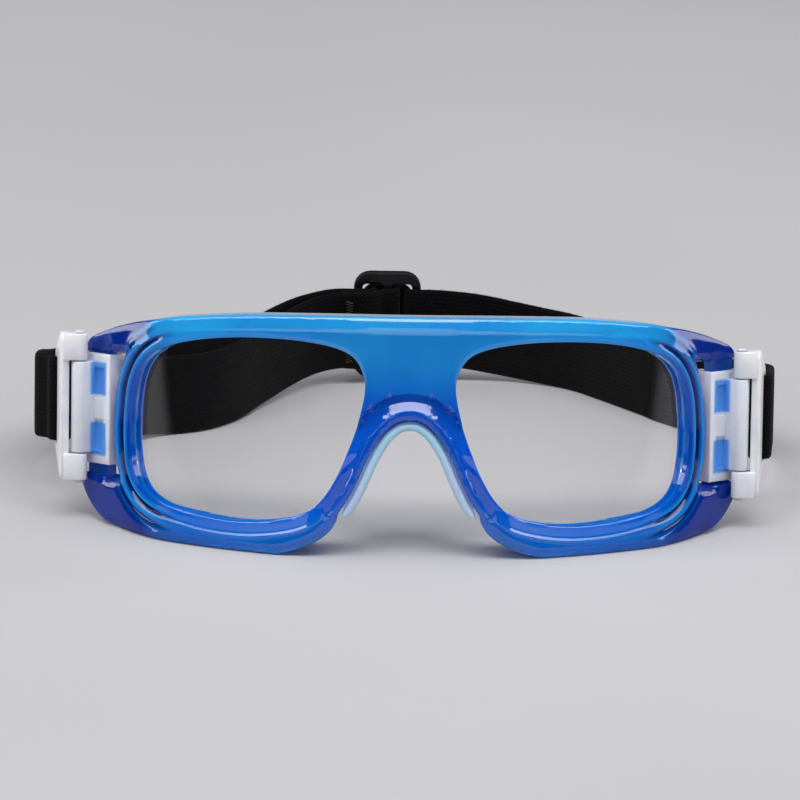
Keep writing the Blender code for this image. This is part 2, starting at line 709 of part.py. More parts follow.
def buckle(side, slide):
    """Frosted swivel buckle: a tapered plate with the strap slot, and two knuckles on the hinge line."""
    sign = 1 if side == "right" else -1
    mid = CLIP_MID_Z + CLIP_RISE[side] + BUCKLE_UP
    hx, hy = hinge_xy()
    at = UPRIGHT @ Matrix.Translation((sign * hx * MM, hy * MM, mid * MM))
    hinge = joint_empty(f"{side}_hinge", at)
    hinge.parent = slide
    hinge.matrix_parent_inverse = slide.matrix_world.inverted()
    q, p, _ = plate_frame(side)
    k = Vector((*p, 0)).cross(Vector((0, 0, 1)))
    turn = Matrix(
        ((p[0], 0, k.x, q[0] * MM), (p[1], 0, k.y, q[1] * MM), (0, 1, 0, mid * MM), (0, 0, 0, 1))
    )
    hf, hb, long = BUCKLE_H_FRONT / 2, BUCKLE_H_BACK / 2, PLATE_LONG
    half_edge = [
        (0.0, hf - 2.0), (0.5, hf - 1.0), (1.6, hf - 0.3), (4.6, hf), (long - 4.4, hb + 0.4),
        (long - 1.4, hb - 0.5), (long - 0.4, hb - 1.3), (long, hb - 2.5),
    ]  # fmt: skip
    edge = half_edge + [(t, -z) for t, z in reversed(half_edge)]
    slot = rounded(SLOT_T0, SLOT_T1, -SLOT_H / 2, SLOT_H / 2, 0.7, 3)
    name = f"{side}_strap_buckle"
    body = add(name, flat_mesh(name, [edge, slot], PLATE_T / 2, 0.3), FROSTED, UPRIGHT @ turn, hinge)
    for i, level in enumerate((hf - KNUCKLE_H / 2, -hf + KNUCKLE_H / 2)):
        # knuckle and the web that joins it to the plate, as one outline in plan
        reach = sign * (PLATE_X + 0.3 - hx)
        root = [(reach, 0.35 - KNUCKLE_R), (reach, KNUCKLE_R + 1.2)]
        web = half_round(0, 0, KNUCKLE_R, 0 if sign > 0 else 180) + root[::sign]
        place = at @ Matrix.Translation((0, 0, level * MM))
        name = f"{side}_buckle_web{i}"
        boolean(body, add(name, flat_mesh(name, [web], KNUCKLE_H / 2, 0.3), None, place), "UNION")
        name = f"{side}_buckle_hole{i}"
        boolean(body, add(name, cylinder_mesh(name, PIN_HOLE_R, -KNUCKLE_H, KNUCKLE_H), None, place), "DIFFERENCE")
    for level, up in (("upper", 1), ("lower", -1)):
        pin(f"{side}_{level}_pin", at, up, hinge)
    return hinge


def pin(name, at, up, hinge):
    """Short pivot pin with a low head outside the knuckle, as a turned profile."""
    hf = BUCKLE_H_FRONT / 2
    profile = [
        (0.0, hf + 0.7), (0.9, hf + 0.65), (1.25, hf + 0.4), (1.25, hf + 0.15), (PIN_R, hf + 0.15),
        (PIN_R, hf - 10.1), (PIN_R - 0.2, hf - 10.3), (0.0, hf - 10.3),
    ]  # fmt: skip
    mesh = bpy.data.meshes.new(name)
    sides = [(i, i + 1) for i in range(len(profile) - 1)]
    mesh.from_pydata([(r * MM, 0, z * MM) for r, z in profile], sides, [])
    obj = add(name, mesh, FROSTED, at if up > 0 else at @ Matrix.Rotation(math.pi, 4, "X"), hinge)
    turned = obj.modifiers.new("turned", "SCREW")
    turned.axis, turned.steps, turned.render_steps = "Z", 20, 20
    turned.use_merge_vertices, turned.merge_threshold = True, 1e-6


def world(x, y, z):
    return Vector((x * MM, (y - Y_MIDDLE) * MM, z * MM))


def ribbon(name, path, start_lean=0.0, end_lean=0.0, parent=None):
    """Webbing with its middle line along the path, in standing millimetres. Its width is as near upright as
    it can be, or as near the leaned upright of the frame at an end whose lean is 1."""
    rows, n = [], len(path)
    upright, leaning = Vector((0, 0, 1)), Vector((0, math.sin(LEAN), math.cos(LEAN)))
    for i, p in enumerate(path):
        s = i / (n - 1)
        share = start_lean * (1 - ramp(0.05, 0.3, s)) + end_lean * ramp(0.7, 0.95, s)
        if start_lean and end_lean:
            share = 1.0
        up = upright.lerp(leaning, share)
        a, b = Vector(path[max(0, i - 1)]), Vector(path[min(n - 1, i + 1)])
        t = (b - a).normalized()
        w = (up - up.dot(t) * t).normalized() * STRAP_W / 2
        rows.append([world(*(Vector(p) + w)), world(*(Vector(p) - w))])
    return shell(name, rows, STRAP_T, WEBBING, parent)


def leaned(x, y, z):
    p = stand(x, y, z) / MM
    return (p.x, p.y + Y_MIDDLE, p.z)


def loop_path(side, ends):
    """Middle line of the webbing round the back bar of a buckle; ends gives (t, k) of the two tails."""
    mid = CLIP_MID_Z + CLIP_RISE[side] + BUCKLE_UP
    q, p, m = plate_frame(side)
    r = PLATE_T / 2 + 0.4 + STRAP_T / 2
    centre = SLOT_T1 - 0.4 - STRAP_T / 2 + r
    (ta, ka), (tb, kb) = ends
    flat = [(ta, ka), (ta - 2.5, ka), (18.9, r)]
    flat += [(centre - r * math.sin(a), r * math.cos(a)) for a in [math.pi * j / 10 for j in range(11)]]
    flat += [(18.9, -r), (tb - 2.5, kb), (tb, kb)]
    line = smooth_open(flat, 1.0)
    return [leaned(q[0] + p[0] * t + m[0] * k, q[1] + p[1] * t + m[1] * k, mid) for t, k in line]


def bar_tack(name, path, where, side_of, lean, parent):
    """Block of stitching lying on the webbing."""
    a, b = Vector(path[where]), Vector(path[where + 1])
    t = (b - a).normalized()
    up = Vector((0, 0, 1)).lerp(Vector((0, math.sin(LEAN), math.cos(LEAN))), lean)
    w = (up - up.dot(t) * t).normalized()
    k = t.cross(w)
    c = world(*((a + b) / 2 + k * side_of * (STRAP_T / 2 + 0.28)))
    rows = [(t[i], w[i], k[i], c[i]) for i in range(3)]
    at = Matrix((*rows, (0, 0, 0, 1)))
    return add(name, box_mesh(name, (-0.9, -8.0, -0.16), (0.9, 8.0, 0.16)), THREAD, at, parent)


def slider(slide):
    """A flat frame with a middle bar, standing in the back of the strap."""
    inner = SLIDER_W / 2 - SLIDER_RAIL
    outlines = [
        rounded(-SLIDER_W / 2, SLIDER_W / 2, -SLIDER_H / 2, SLIDER_H / 2, 4.2, 6),
        rounded(-inner, -SLIDER_BAR / 2, -SLIDER_SLOT_H / 2, SLIDER_SLOT_H / 2, 1.0, 3),
        rounded(SLIDER_BAR / 2, inner, -SLIDER_SLOT_H / 2, SLIDER_SLOT_H / 2, 1.0, 3),
    ]
    mesh = flat_mesh("strap_slider", outlines, SLIDER_T / 2, 0.5)
    upright = slide.matrix_world @ Matrix.Rotation(math.pi / 2, 4, "X")
    add("strap_slider", mesh, SLIDER_GREY, upright, slide)


def by_slider(points, step):
    """A smooth line through points measured from the middle of the slider."""
    return smooth_open([(SLIDER_X + x, SLIDER_Y + y, SLIDER_Z) for x, y in points], step)


def run(start, start_before, points, end, end_before):
    """A length of webbing that carries on from the end of one piece to the end of another, 0.35 mm clear
    of each."""
    out = []
    for p, q in ((start, start_before), (end, end_before)):
        along = (Vector(p) - Vector(q)).normalized()
        out.append([tuple(Vector(p) + along * 0.35), tuple(Vector(p) + along * 2.6)])
    return smooth_open(out[0] + points + out[1][::-1], 3.2)


def strap(left_hinge, right_hinge, slide):
    """The elastic strap in seven lengths: round each buckle, round the slider, and the runs between them."""
    # passes inside the rails and outside the middle bar
    through = by_slider(
        [
            (-12.5, -2.45), (-9.5, -2.35), (-7.4, -2.35), (-5.6, -1.85), (-5.1, 0.0), (-4.35, 1.8),
            (-2.95, 3.5), (-1.2, 4.0), (0.0, 4.05), (1.3, 4.0), (3.0, 3.5), (4.4, 1.8), (5.15, 0.0),
            (5.6, -1.85), (7.4, -2.35), (9.5, -2.35), (12.5, -2.45),
        ],
        0.9,
    )  # fmt: skip
    ribbon("strap_slider_wrap", through, parent=slide)
    # sewn end that holds the slider: inside the wrap, round the middle bar and back
    sewn = by_slider(
        [
            (-12.5, -6.0), (-9.0, -6.0), (-6.6, -6.0), (-4.4, -5.5), (-2.2, -3.9), (-0.8, -2.55),
            (0.5, -2.3), (2.05, -1.85), (2.55, 0.0), (2.05, 1.85), (0.4, 2.25), (-1.3, 2.05),
            (-2.55, 1.0), (-3.0, -0.3), (-3.7, -1.8), (-4.7, -3.5), (-6.8, -4.2), (-9.0, -4.2),
            (-11.5, -4.2),
        ],
        0.8,
    )  # fmt: skip
    ribbon("strap_slider_loop", sewn, parent=slide)
    bar_tack("slider_bar_tack", sewn, 3, 1, 0.0, slide)

    left_loop = loop_path("left", ((25.0, 4.6), (25.0, -2.6)))
    right_loop = loop_path("right", ((24.5, 0.95), (24.5, -0.95)))
    ribbon("strap_left_loop", left_loop, 1, 1, left_hinge)
    ribbon("strap_right_loop", right_loop, 1, 1, right_hinge)
    bar_tack("right_bar_tack", right_loop, 0, -1, 1.0, right_hinge)

    back_right = [
        (15.0, 134.4, 13.2), (24.0, 134.2, 11.6), (33.0, 132.2, 10.4), (41.0, 128.0, 10.06),
        (50.0, 118.5, 10.06), (59.0, 108.2, 10.06), (68.0, 99.8, 10.06), (77.0, 92.5, 10.6),
        (84.4, 83.0, 12.5), (87.3, 73.0, 14.9), (86.2, 62.0, 17.6),
    ]  # fmt: skip
    outer_left = [
        (-23.5, 132.4, 13.7), (-30.5, 127.8, 12.8), (-38.5, 117.8, 11.3), (-47.0, 105.4, 10.25),
        (-57.0, 98.2, 10.1), (-70.0, 93.4, 10.7), (-80.5, 84.6, 12.9), (-86.8, 73.5, 16.2),
        (-88.6, 63.0, 19.4),
    ]  # fmt: skip
    inner_left = [
        (-24.2, 127.6, 13.5), (-29.8, 121.6, 12.5), (-36.6, 111.4, 11.1), (-43.4, 99.4, 10.2),
        (-51.5, 91.6, 10.06), (-64.0, 86.4, 10.7), (-75.0, 77.4, 13.8), (-80.9, 67.0, 17.7),
    ]  # fmt: skip
    for name, start, points, end in (
        ("strap_back_right", through[::-1], back_right, right_loop),
        ("strap_outer_left", through, outer_left, left_loop),
        ("strap_inner_left", sewn, inner_left, left_loop[::-1]),
    ):
        ribbon(name, run(start[0], start[1], points, end[0], end[1]), 0, 1)


build_frame()
lens("right_lens", 1)
lens("left_lens", -1)
nose_pad()
slider_slide = joint_empty("slider_slide", Matrix.Translation(world(SLIDER_X, SLIDER_Y, SLIDER_Z)))
slider(slider_slide)
strap(buckle("left", clip("left")), buckle("right", clip("right")), slider_slide)
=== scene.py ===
"""The look of the sports protective goggles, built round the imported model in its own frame.

The frame, lenses, nose pad and strap are drawn again with fine surfaces from the same driving dimensions.
The clips and swivel buckles are the model's own shapes with their edges rounded. The pins and the slider
keep their shapes and get their finish here. Metres, +Z up, front -Y; millimetres are multiplied by MM.
"""

import math
import random

import bmesh
import bpy
import numpy as np
from mathutils import Matrix, Vector
from mathutils.geometry import delaunay_2d_cdt

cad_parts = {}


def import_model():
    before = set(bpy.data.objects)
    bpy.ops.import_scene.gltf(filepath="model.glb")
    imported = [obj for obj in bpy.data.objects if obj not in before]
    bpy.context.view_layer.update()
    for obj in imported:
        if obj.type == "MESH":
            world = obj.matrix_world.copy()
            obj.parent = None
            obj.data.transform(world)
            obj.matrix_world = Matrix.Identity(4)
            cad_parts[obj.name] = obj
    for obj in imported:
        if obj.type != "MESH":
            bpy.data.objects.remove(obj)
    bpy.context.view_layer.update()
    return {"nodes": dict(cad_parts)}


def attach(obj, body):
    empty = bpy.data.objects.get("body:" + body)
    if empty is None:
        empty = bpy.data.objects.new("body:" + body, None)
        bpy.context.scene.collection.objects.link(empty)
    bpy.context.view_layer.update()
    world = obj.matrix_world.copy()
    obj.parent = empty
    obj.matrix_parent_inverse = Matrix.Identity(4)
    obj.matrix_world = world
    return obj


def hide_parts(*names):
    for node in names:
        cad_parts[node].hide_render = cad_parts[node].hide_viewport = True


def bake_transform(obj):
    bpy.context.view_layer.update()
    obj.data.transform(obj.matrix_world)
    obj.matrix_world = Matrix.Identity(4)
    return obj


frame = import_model()
random.seed(4)

MM = 0.001

# ---- driving dimensions, the same as the model's -------------------------------------------------
LEAN = math.radians(11.0)
FLOOR_LIFT, Y_MIDDLE = 1.42, 71.9
WRAP_R, TURN_R = 150.0, 30.0
A1, A2 = math.radians(22.0), math.radians(45.0)
U1 = WRAP_R * A1
U2 = U1 + TURN_R * (A2 - A1)
X1, Y1 = WRAP_R * math.sin(A1), WRAP_R * (1 - math.cos(A1))
X2 = X1 + TURN_R * (math.sin(A2) - math.sin(A1))
Y2 = Y1 + TURN_R * (math.cos(A1) - math.cos(A2))
FRAME_DEPTH, ARM_DEPTH, ARM_END_U = 8.0, 4.8, 85.3
BAR_U0, BAR_U1, BAR_Z0, BAR_Z1, BAR_D0, BAR_D1 = 77.3, 84.6, 14.6, 43.4, 2.0, 4.2
LENS_D0, LENS_D1, GROOVE_D0, GROOVE_D1, GROOVE_DEEP = 3.05, 4.95, 2.8, 5.2, 1.3
LENS_INTO_GROOVE = 0.95
PAD_OFFSET, PAD_T, PAD_SHOWN = 2.05, 1.55, 2.2
CLIP_MID_Z, CLIP_RISE, BUCKLE_UP = 29.0, {"left": 1.0, "right": -1.0}, 0.4
PLATE_X, PLATE_Y, PLATE_DEG, PLATE_T, SLOT_T1 = 80.7, 24.5, 8.0, 1.9, 15.8
STRAP_W, STRAP_T = 20.0, 1.5
LOOP_T, LOOP_GAP = 18.9, 0.4  # where the webbing leaves a buckle's back bar, and its gap to the bar
SLIDER_X, SLIDER_Y, SLIDER_Z = -6.0, 136.4, 14.1

LENS_XZ = [
    (10.5, 38.0), (10.9, 42.0), (13.2, 45.9), (17.5, 48.0), (24.0, 49.2), (31.0, 49.7),
    (38.0, 49.7), (45.0, 49.2), (52.0, 48.0), (57.9, 46.0), (62.3, 42.6), (64.8, 37.2),
    (65.7, 30.5), (65.8, 23.5), (65.0, 17.2), (62.5, 12.6), (58.0, 9.8), (52.0, 8.1),
    (45.5, 6.9), (38.0, 6.5), (31.0, 7.2), (25.2, 8.8), (20.7, 12.0), (17.2, 17.2),
    (14.3, 24.0), (11.8, 31.5),
]  # fmt: skip
ARCH_HALF = [
    (0.0, 29.5), (2.3, 28.9), (4.6, 26.9), (6.9, 23.4), (8.7, 19.7), (10.3, 16.0),
    (12.2, 12.2), (14.6, 8.5),
]  # fmt: skip
TOP_EDGE = [
    (0.0, 55.2), (14.0, 55.2), (24.0, 55.1), (38.0, 54.8), (46.0, 54.3), (53.0, 53.7),
    (58.5, 53.1), (64.8, 52.0), (69.6, 51.1), (75.1, 49.7), (80.0, 48.1), (83.4, 46.8),
    (84.8, 45.6), (ARM_END_U, 44.6),
]  # fmt: skip
ARM_FOOT = [
    (ARM_END_U, 13.9), (85.2, 12.3), (84.0, 9.9), (82.0, 7.4), (79.4, 5.2), (76.8, 3.8),
]  # fmt: skip
RIM_SIDE = [
    (73.2, 14.5), (74.4, 18.0), (75.3, 22.0), (75.6, 26.5), (75.3, 31.5), (74.3, 36.5),
    (73.0, 40.3), (71.4, 43.7),
]  # fmt: skip
FOOT_U, FOOT_STEPS = 74.2, 71
NOSE_FOOT = [(27.8, -0.1), (23.8, 1.4), (20.5, 3.3), (18.2, 5.4), (16.9, 7.6)]
NOSE_FOOT_U = 30.9
WINDOW_CORNER = (74.4, 43.6)
FINE = 0.6  # spacing of points along the outlines of the fine frame

# Relief of the front as (distance, depth) pairs: from the lens opening, then from the arch over the nose.
RIDGED = [
    (0, 1.25), (1.35, 0.5), (1.65, 0.52), (2.5, 1.25), (3.35, 0.2), (4.2, 0.0), (5.0, 0.5), (5.5, 0.1),
    (9, 0.0),
]  # fmt: skip
SLOPED = [(0, 1.45), (0.35, 1.15), (0.6, 1.2), (2.7, 0.6), (3.1, 0.0), (3.5, 0.05), (9, 0.0)]
PLAIN = [(0, 0.2), (0.5, 0.0), (9, 0.0)]
SCOOP = [(0, 0.3), (0.4, 0.05), (2.1, 0.0), (2.4, 0.35), (5.8, 2.4), (6.3, 0.0), (9, 0.0)]
NOSE_LEG = [(0, 0.3), (0.4, 0.05), (1.7, 0.0), (2.0, 0.65), (4.4, 0.0), (9, 0.0)]
BROW_DEEP, BROW_DEEPER, BROW_TALL, BROW_TALLER = 1.15, 0.25, 3.3, 4.6
BROW_TURN = (55.0, 70.0)  # where the brow bevel grows, along the wrap
DITCH_AT, DITCH_DEEP, DITCH_HALF = 6.3, 0.5, 0.5
EDGE_ROUND, BACK_ROUND = 0.55, 0.9
FOOT_BEVEL, FOOT_BEVEL_WIDE, WINDOW_BEVEL, WINDOW_BEVEL_WIDE = 0.9, 2.3, 1.5, 2.1
ARM_DROP, FLARE, FLARE_MORE = 0.2, 0.4, 3.0

# Where each part of the relief begins and is full: along the wrap from the middle, or up the frame.
ARM_FROM, SIDE_FROM, SIDE_TONE_FROM, BROW_HIGHLIGHT_TO = (60.0, 66.0), (56.0, 63.5), (54.0, 62.0), (58.0, 68.0)
DITCH_FROM, WINDOW_FROM, THIN_FROM, FLARE_TO = 60, 64, (63.0, 75.0), (40.0, 58.0)
FOOT_FROM, FOOT_BELOW = (17.0, 24.0), (15.0, 10.0)
NOSE_TO, NOSE_ABOVE, SCOOP_ABOVE = 20, (7.0, 9.0), (17.5, 28.0)
ARM_OUTSIDE = (6.0, 7.0)  # from the lens opening
BROW_HIGHLIGHT_DOWN = (2.6, 4.2)  # from the top edge

# Painted shade in the grooves and painted highlights on the ridges across the sides of the rims, as (distance
# from the lens opening, share).
GROOVE_SHADE = [(1.9, 0), (2.3, 1), (2.8, 1), (3.2, 0), (4.4, 0), (4.9, 1), (5.3, 1), (5.7, 0)]
RIDGE_HIGHLIGHT = [(1.1, 0), (1.4, 1), (1.6, 1), (1.9, 0), (3.1, 0), (3.5, 1), (4.0, 1), (4.4, 0)]

# Distances at which the frame's mesh follows the lens opening, the edges and the arch.
RIM_LINES = (0.3, 0.6, 1.35, 1.65, 2.1, 2.5, 2.9, 3.3, 3.6, 4.2, 4.6, 5.0, 5.5, 5.8, 6.3, 6.8)
EDGE_LINES = (0.12, 0.3, 0.55, 1.2, 2.1)
ARCH_LINES = (0.4, 1.1, 1.7, 2.1, 2.4, 2.9, 3.5, 4.1, 4.7, 5.3, 5.8, 6.05, 6.3, 6.8)
BAR_EASE = 0.6  # height over which the bar eases into the arms
LINE_CLEAR, LINE_GAP, LATTICE_CLEAR, LATTICE_GAP = 0.12, 0.28, 0.5, 0.62
ARCH_FINE, FOOT_REACH = 0.25, 9.0

# The nose pad's section, as (inward from the arch, depth) pairs.
PAD_SECTION = [(0.95, 0.7), (0.9, 3.5), (0.9, 6.4), (1.0, 8.6), (1.9, 9.7), (3.2, 10.3), (4.5, 10.5)]
PAD_SECTION_STEP, PAD_STEP = 0.6, 0.8
PAD_LIP_LEAST, PAD_LIP_GROWS = 0.45, 6.0  # reach of the lip at each end of the arch, and length to full reach


# ---- the wrap, and curves ------------------------------------------------------------------------
def wrap(u):
    """Point on the wrap curve and its outward normal, in plan."""
    s, a = (1 if u >= 0 else -1), abs(u)
    if a < U1:
        t = a / WRAP_R
        x, y = WRAP_R * math.sin(t), WRAP_R * (1 - math.cos(t))
    elif a < U2:
        t = A1 + (a - U1) / TURN_R
        x = X1 + TURN_R * (math.sin(t) - math.sin(A1))
        y = Y1 + TURN_R * (math.cos(A1) - math.cos(t))
    else:
        t = A2
        x, y = X2 + (a - U2) * math.cos(A2), Y2 + (a - U2) * math.sin(A2)
    return s * x, y, s * math.sin(t), -math.cos(t)


def u_at(x):
    """Length along the wrap curve to this distance from the middle."""
    if x < X1:
        return WRAP_R * math.asin(x / WRAP_R)
    if x < X2:
        return U1 + TURN_R * (math.asin(math.sin(A1) + (x - X1) / TURN_R) - A1)
    return U2 + (x - X2) / math.cos(A2)


def leaned(x, y, z):
    """Upright millimetres to standing millimetres."""
    return (
        x,
        y * math.cos(LEAN) + z * math.sin(LEAN),
        -y * math.sin(LEAN) + z * math.cos(LEAN) + FLOOR_LIFT,
    )


def world(x, y, z):
    """Standing millimetres to the scene's metres."""
    return Vector((x * MM, (y - Y_MIDDLE) * MM, z * MM))


def bent(u, z, d):
    """Place of the point at u along the wrap, z up the upright frame and d behind its front."""
    x, y, nx, ny = wrap(u)
    return world(*leaned(x - nx * d, y - ny * d, z))


def floor_z(u):
    """Height on the upright frame that stands on the floor once the frame leans back."""
    return (wrap(u)[1] * math.sin(LEAN) - FLOOR_LIFT) / math.cos(LEAN) + 0.02


def spline(p0, p1, p2, p3, t):
    """Point between p1 and p2 on a curve through all four."""
    return tuple(
        0.5 * (2 * b + (c - a) * t + (2 * a - 5 * b + 4 * c - d) * t * t + (3 * b - a - 3 * c + d) * t**3)
        for a, b, c, d in zip(p0, p1, p2, p3)
    )


def smooth_closed(points, step):
    out, n = [], len(points)
    for i in range(n):
        p0, p1, p2, p3 = (points[(i + k - 1) % n] for k in range(4))
        count = max(2, round(math.dist(p1, p2) / step))
        out += [spline(p0, p1, p2, p3, j / count) for j in range(count)]
    return out


def smooth_open(points, step):
    first = tuple(2 * a - b for a, b in zip(points[0], points[1]))
    last = tuple(2 * a - b for a, b in zip(points[-1], points[-2]))
    held = [first, *points, last]
    out = []
    for p0, p1, p2, p3 in zip(held, held[1:], held[2:], held[3:]):
        count = max(1, round(math.dist(p1, p2) / step))
        out += [spline(p0, p1, p2, p3, j / count) for j in range(count)]
    return [*out, tuple(points[-1])]


def straight(a, b, step=FINE):
    count = max(1, round(math.dist(a, b) / step))
    return [tuple(p + (q - p) * k / count for p, q in zip(a, b)) for k in range(count)]


def offset(points, by, closed=True):
    """Each point moved to the right of travel by this much."""
    out, n = [], len(points)
    for i, p in enumerate(points):
        a = points[i - 1] if closed or i else p
        b = points[(i + 1) % n] if closed or i < n - 1 else p
        tx, ty = b[0] - a[0], b[1] - a[1]
        length = math.hypot(tx, ty) or 1.0
        out.append((p[0] + by * ty / length, p[1] - by * tx / length))
    return out


def area(points):
    return 0.5 * sum(a[0] * b[1] - b[0] * a[1] for a, b in zip(points, points[1:] + points[:1]))


def mirrored(points):
    return [(-a, b) for a, b in reversed(points)]


# ---- outlines ------------------------------------------------------------------------------------
lens_right = smooth_closed([(u_at(x), z) for x, z in LENS_XZ], FINE)
if area(lens_right) < 0:
    lens_right.reverse()
arch_points = [(-x, z) for x, z in reversed(ARCH_HALF[1:])] + ARCH_HALF
arch_frame = offset(smooth_open(arch_points, FINE), -PAD_OFFSET, closed=False)
top_half = smooth_open(TOP_EDGE, FINE)
lower = [(FOOT_U - FINE * k, floor_z(FOOT_U - FINE * k)) for k in range(FOOT_STEPS)]
lower += smooth_open([(NOSE_FOOT_U, floor_z(NOSE_FOOT_U)), *NOSE_FOOT], FINE)
right_half = (
    top_half
    + straight((ARM_END_U, BAR_Z1 + 0.5), (BAR_U1, BAR_Z1))
    + straight((BAR_U1, BAR_Z1), (BAR_U1, BAR_Z0))
    + [(BAR_U1, BAR_Z0), (ARM_END_U, BAR_Z0 - 0.5)]
    + smooth_open(ARM_FOOT, FINE)
    + lower
)
half = right_half + [p for p in reversed(arch_frame) if p[0] > 1e-6]
outline = half + [(0.0, arch_frame[len(arch_frame) // 2][1])] + mirrored(half[1:])
window = (
    smooth_open(RIM_SIDE, FINE)
    + straight(WINDOW_CORNER, (BAR_U0, BAR_Z1))
    + straight((BAR_U0, BAR_Z1), (BAR_U0, BAR_Z0))
    + straight((BAR_U0, BAR_Z0), RIM_SIDE[0])
)
top_u, top_z = np.array(top_half).T


# ---- measuring in the flat -----------------------------------------------------------------------
def distance(points, line, closed=True):
    """Distance of each flat point from a line of points."""
    a = np.array(line, float)
    b = np.roll(a, -1, axis=0) if closed else a[1:]
    a = a[: len(b)]
    span = b - a
    size = (span**2).sum(1) + 1e-12
    out = np.empty(len(points))
    for k in range(0, len(points), 2000):
        gap = points[k : k + 2000, None, :] - a[None]
        t = ((gap * span).sum(2) / size).clip(0, 1)
        out[k : k + 2000] = np.sqrt(((gap - t[..., None] * span) ** 2).sum(2)).min(1)
    return out


def inside(points, loop):
    """Which of the flat points lie within the loop."""
    a = np.array(loop, float)
    b = np.roll(a, -1, axis=0)
    x, z = points[:, :1], points[:, 1:]
    crosses = ((a[:, 1] > z) != (b[:, 1] > z)) & (
        x < a[:, 0] + (z - a[:, 1]) * (b[:, 0] - a[:, 0]) / (b[:, 1] - a[:, 1] + 1e-12)
    )
    return crosses.sum(1) % 2 == 1


def ramp(a, b, x):
    """0 at a, 1 at b, easing between."""
    t = np.clip((x - a) / (b - a), 0.0, 1.0)
    return t * t * (3 - 2 * t)


def along(profile, x):
    """Value at x of a profile of pairs."""
    return np.interp(x, *zip(*profile))


def rounding(gap, radius):
    """Depth of a rounded edge at this distance from it."""
    t = np.clip(1 - gap / radius, 0, 1)
    return radius * (1 - np.sqrt(1 - t * t))


def bar_share(a, z):
    """1 on the upright bar, easing to 0 above and below it."""
    t = np.maximum(ramp(BAR_Z1, BAR_Z1 + BAR_EASE, z), ramp(-BAR_Z0, -BAR_Z0 + BAR_EASE, -z))
    return (a > BAR_U0 - BAR_EASE) * (1 - t)


def arm_share(a, e):
    """0 on the ring round the lens and on the brow, 1 on the arms beside it."""
    return ramp(*ARM_OUTSIDE, e) * ramp(*ARM_FROM, a)


def tones_and_painted_light(points):
    """Shares for each point of four tones of the moulding.

    They are the deep arms, a painted highlight along the brow band, and painted shade in the grooves and
    painted highlights on the ridges of the rims.
    """
    a = np.abs(points[:, 0])
    e = distance(np.column_stack([a, points[:, 1]]), lens_right)
    h = np.interp(a, top_u, top_z) - points[:, 1]
    arms = arm_share(a, e) * (1 - bar_share(a, points[:, 1]))
    side = ramp(*SIDE_TONE_FROM, a) * (1 - arms)
    return {
        "arm_tone": arms,
        # Painted highlight along the brow band, then painted shade and highlights in the grooves and on the
        # ridges.
        "brow_tone": (1 - ramp(*BROW_HIGHLIGHT_DOWN, h)) * (1 - ramp(*BROW_HIGHLIGHT_TO, a)),
        "groove_tone": side * along(GROOVE_SHADE, e),
        "ridge_tone": side * along(RIDGE_HIGHLIGHT, e),
    }


def front_depth(points):
    """Relief of the front: brow bevel, ridged bezel, scoop over the nose, lower bevel and soft edges."""
    a, z = np.abs(points[:, 0]), points[:, 1]
    flat = np.column_stack([a, z])
    e = distance(flat, lens_right)
    edge = distance(flat, half, closed=False)
    hole = distance(flat, window)
    right_arch = [p for p in arch_frame if p[0] >= -1e-6]
    arch = distance(flat, right_arch, closed=False)
    low = distance(flat, lower, closed=False)
    h = np.interp(a, top_u, top_z) - z
    turn = ramp(*BROW_TURN, a)
    brow = (BROW_DEEP + BROW_DEEPER * turn) * (1 - h / (BROW_TALL + BROW_TALLER * turn))
    side = ramp(*SIDE_FROM, a)
    foot = ramp(*FOOT_BELOW, z) * ramp(*FOOT_FROM, a)
    bezel = side * along(RIDGED, e) + (1 - side) * (foot * along(SLOPED, e) + (1 - foot) * along(PLAIN, e))
    over_nose = ramp(*SCOOP_ABOVE, z)
    nose = over_nose * along(SCOOP, arch) + (1 - over_nose) * along(NOSE_LEG, arch)
    nose = nose * (a < NOSE_TO) * ramp(*NOSE_ABOVE, z)
    d = np.maximum.reduce([
        np.zeros(len(a)), brow, bezel, nose,
        FOOT_BEVEL * (1 - low / FOOT_BEVEL_WIDE),
        (a > WINDOW_FROM) * WINDOW_BEVEL * (1 - hole / WINDOW_BEVEL_WIDE),
    ])  # fmt: skip
    ditch = DITCH_DEEP * np.clip(1 - np.abs(e - DITCH_AT) / DITCH_HALF, 0, 1) * (a > DITCH_FROM)
    d = np.maximum(d, ditch) + rounding(np.minimum(edge, hole), EDGE_ROUND) + ARM_DROP * arm_share(a, e)
    bar = bar_share(a, z)
    return bar * BAR_D0 + (1 - bar) * d


def back_depth(points):
    """Depth of the back: thinner arms, a flare behind each lens opening and rounded edges."""
    a, z = np.abs(points[:, 0]), points[:, 1]
    flat = np.column_stack([a, z])
    gap = np.minimum.reduce([
        distance(flat, lens_right), distance(flat, half, closed=False), distance(flat, window),
    ])  # fmt: skip
    full = FRAME_DEPTH + (ARM_DEPTH - FRAME_DEPTH) * ramp(*THIN_FROM, a)
    flare = GROOVE_D1 + FLARE + distance(flat, lens_right) + FLARE_MORE * (1 - ramp(*FLARE_TO, a))
    bar = bar_share(a, z)
    return bar * BAR_D1 + (1 - bar) * np.minimum(full - rounding(gap, BACK_ROUND), flare)


# ---- meshes --------------------------------------------------------------------------------------
def new_object(name, mesh, material, crease):
    """An object shaded smooth but for edges sharper than crease degrees."""
    obj = bpy.data.objects.new(name, mesh)
    bpy.context.scene.collection.objects.link(obj)
    mesh.materials.append(material)
    mesh.shade_smooth()
    mesh.set_sharp_from_angle(angle=math.radians(crease))
    return obj


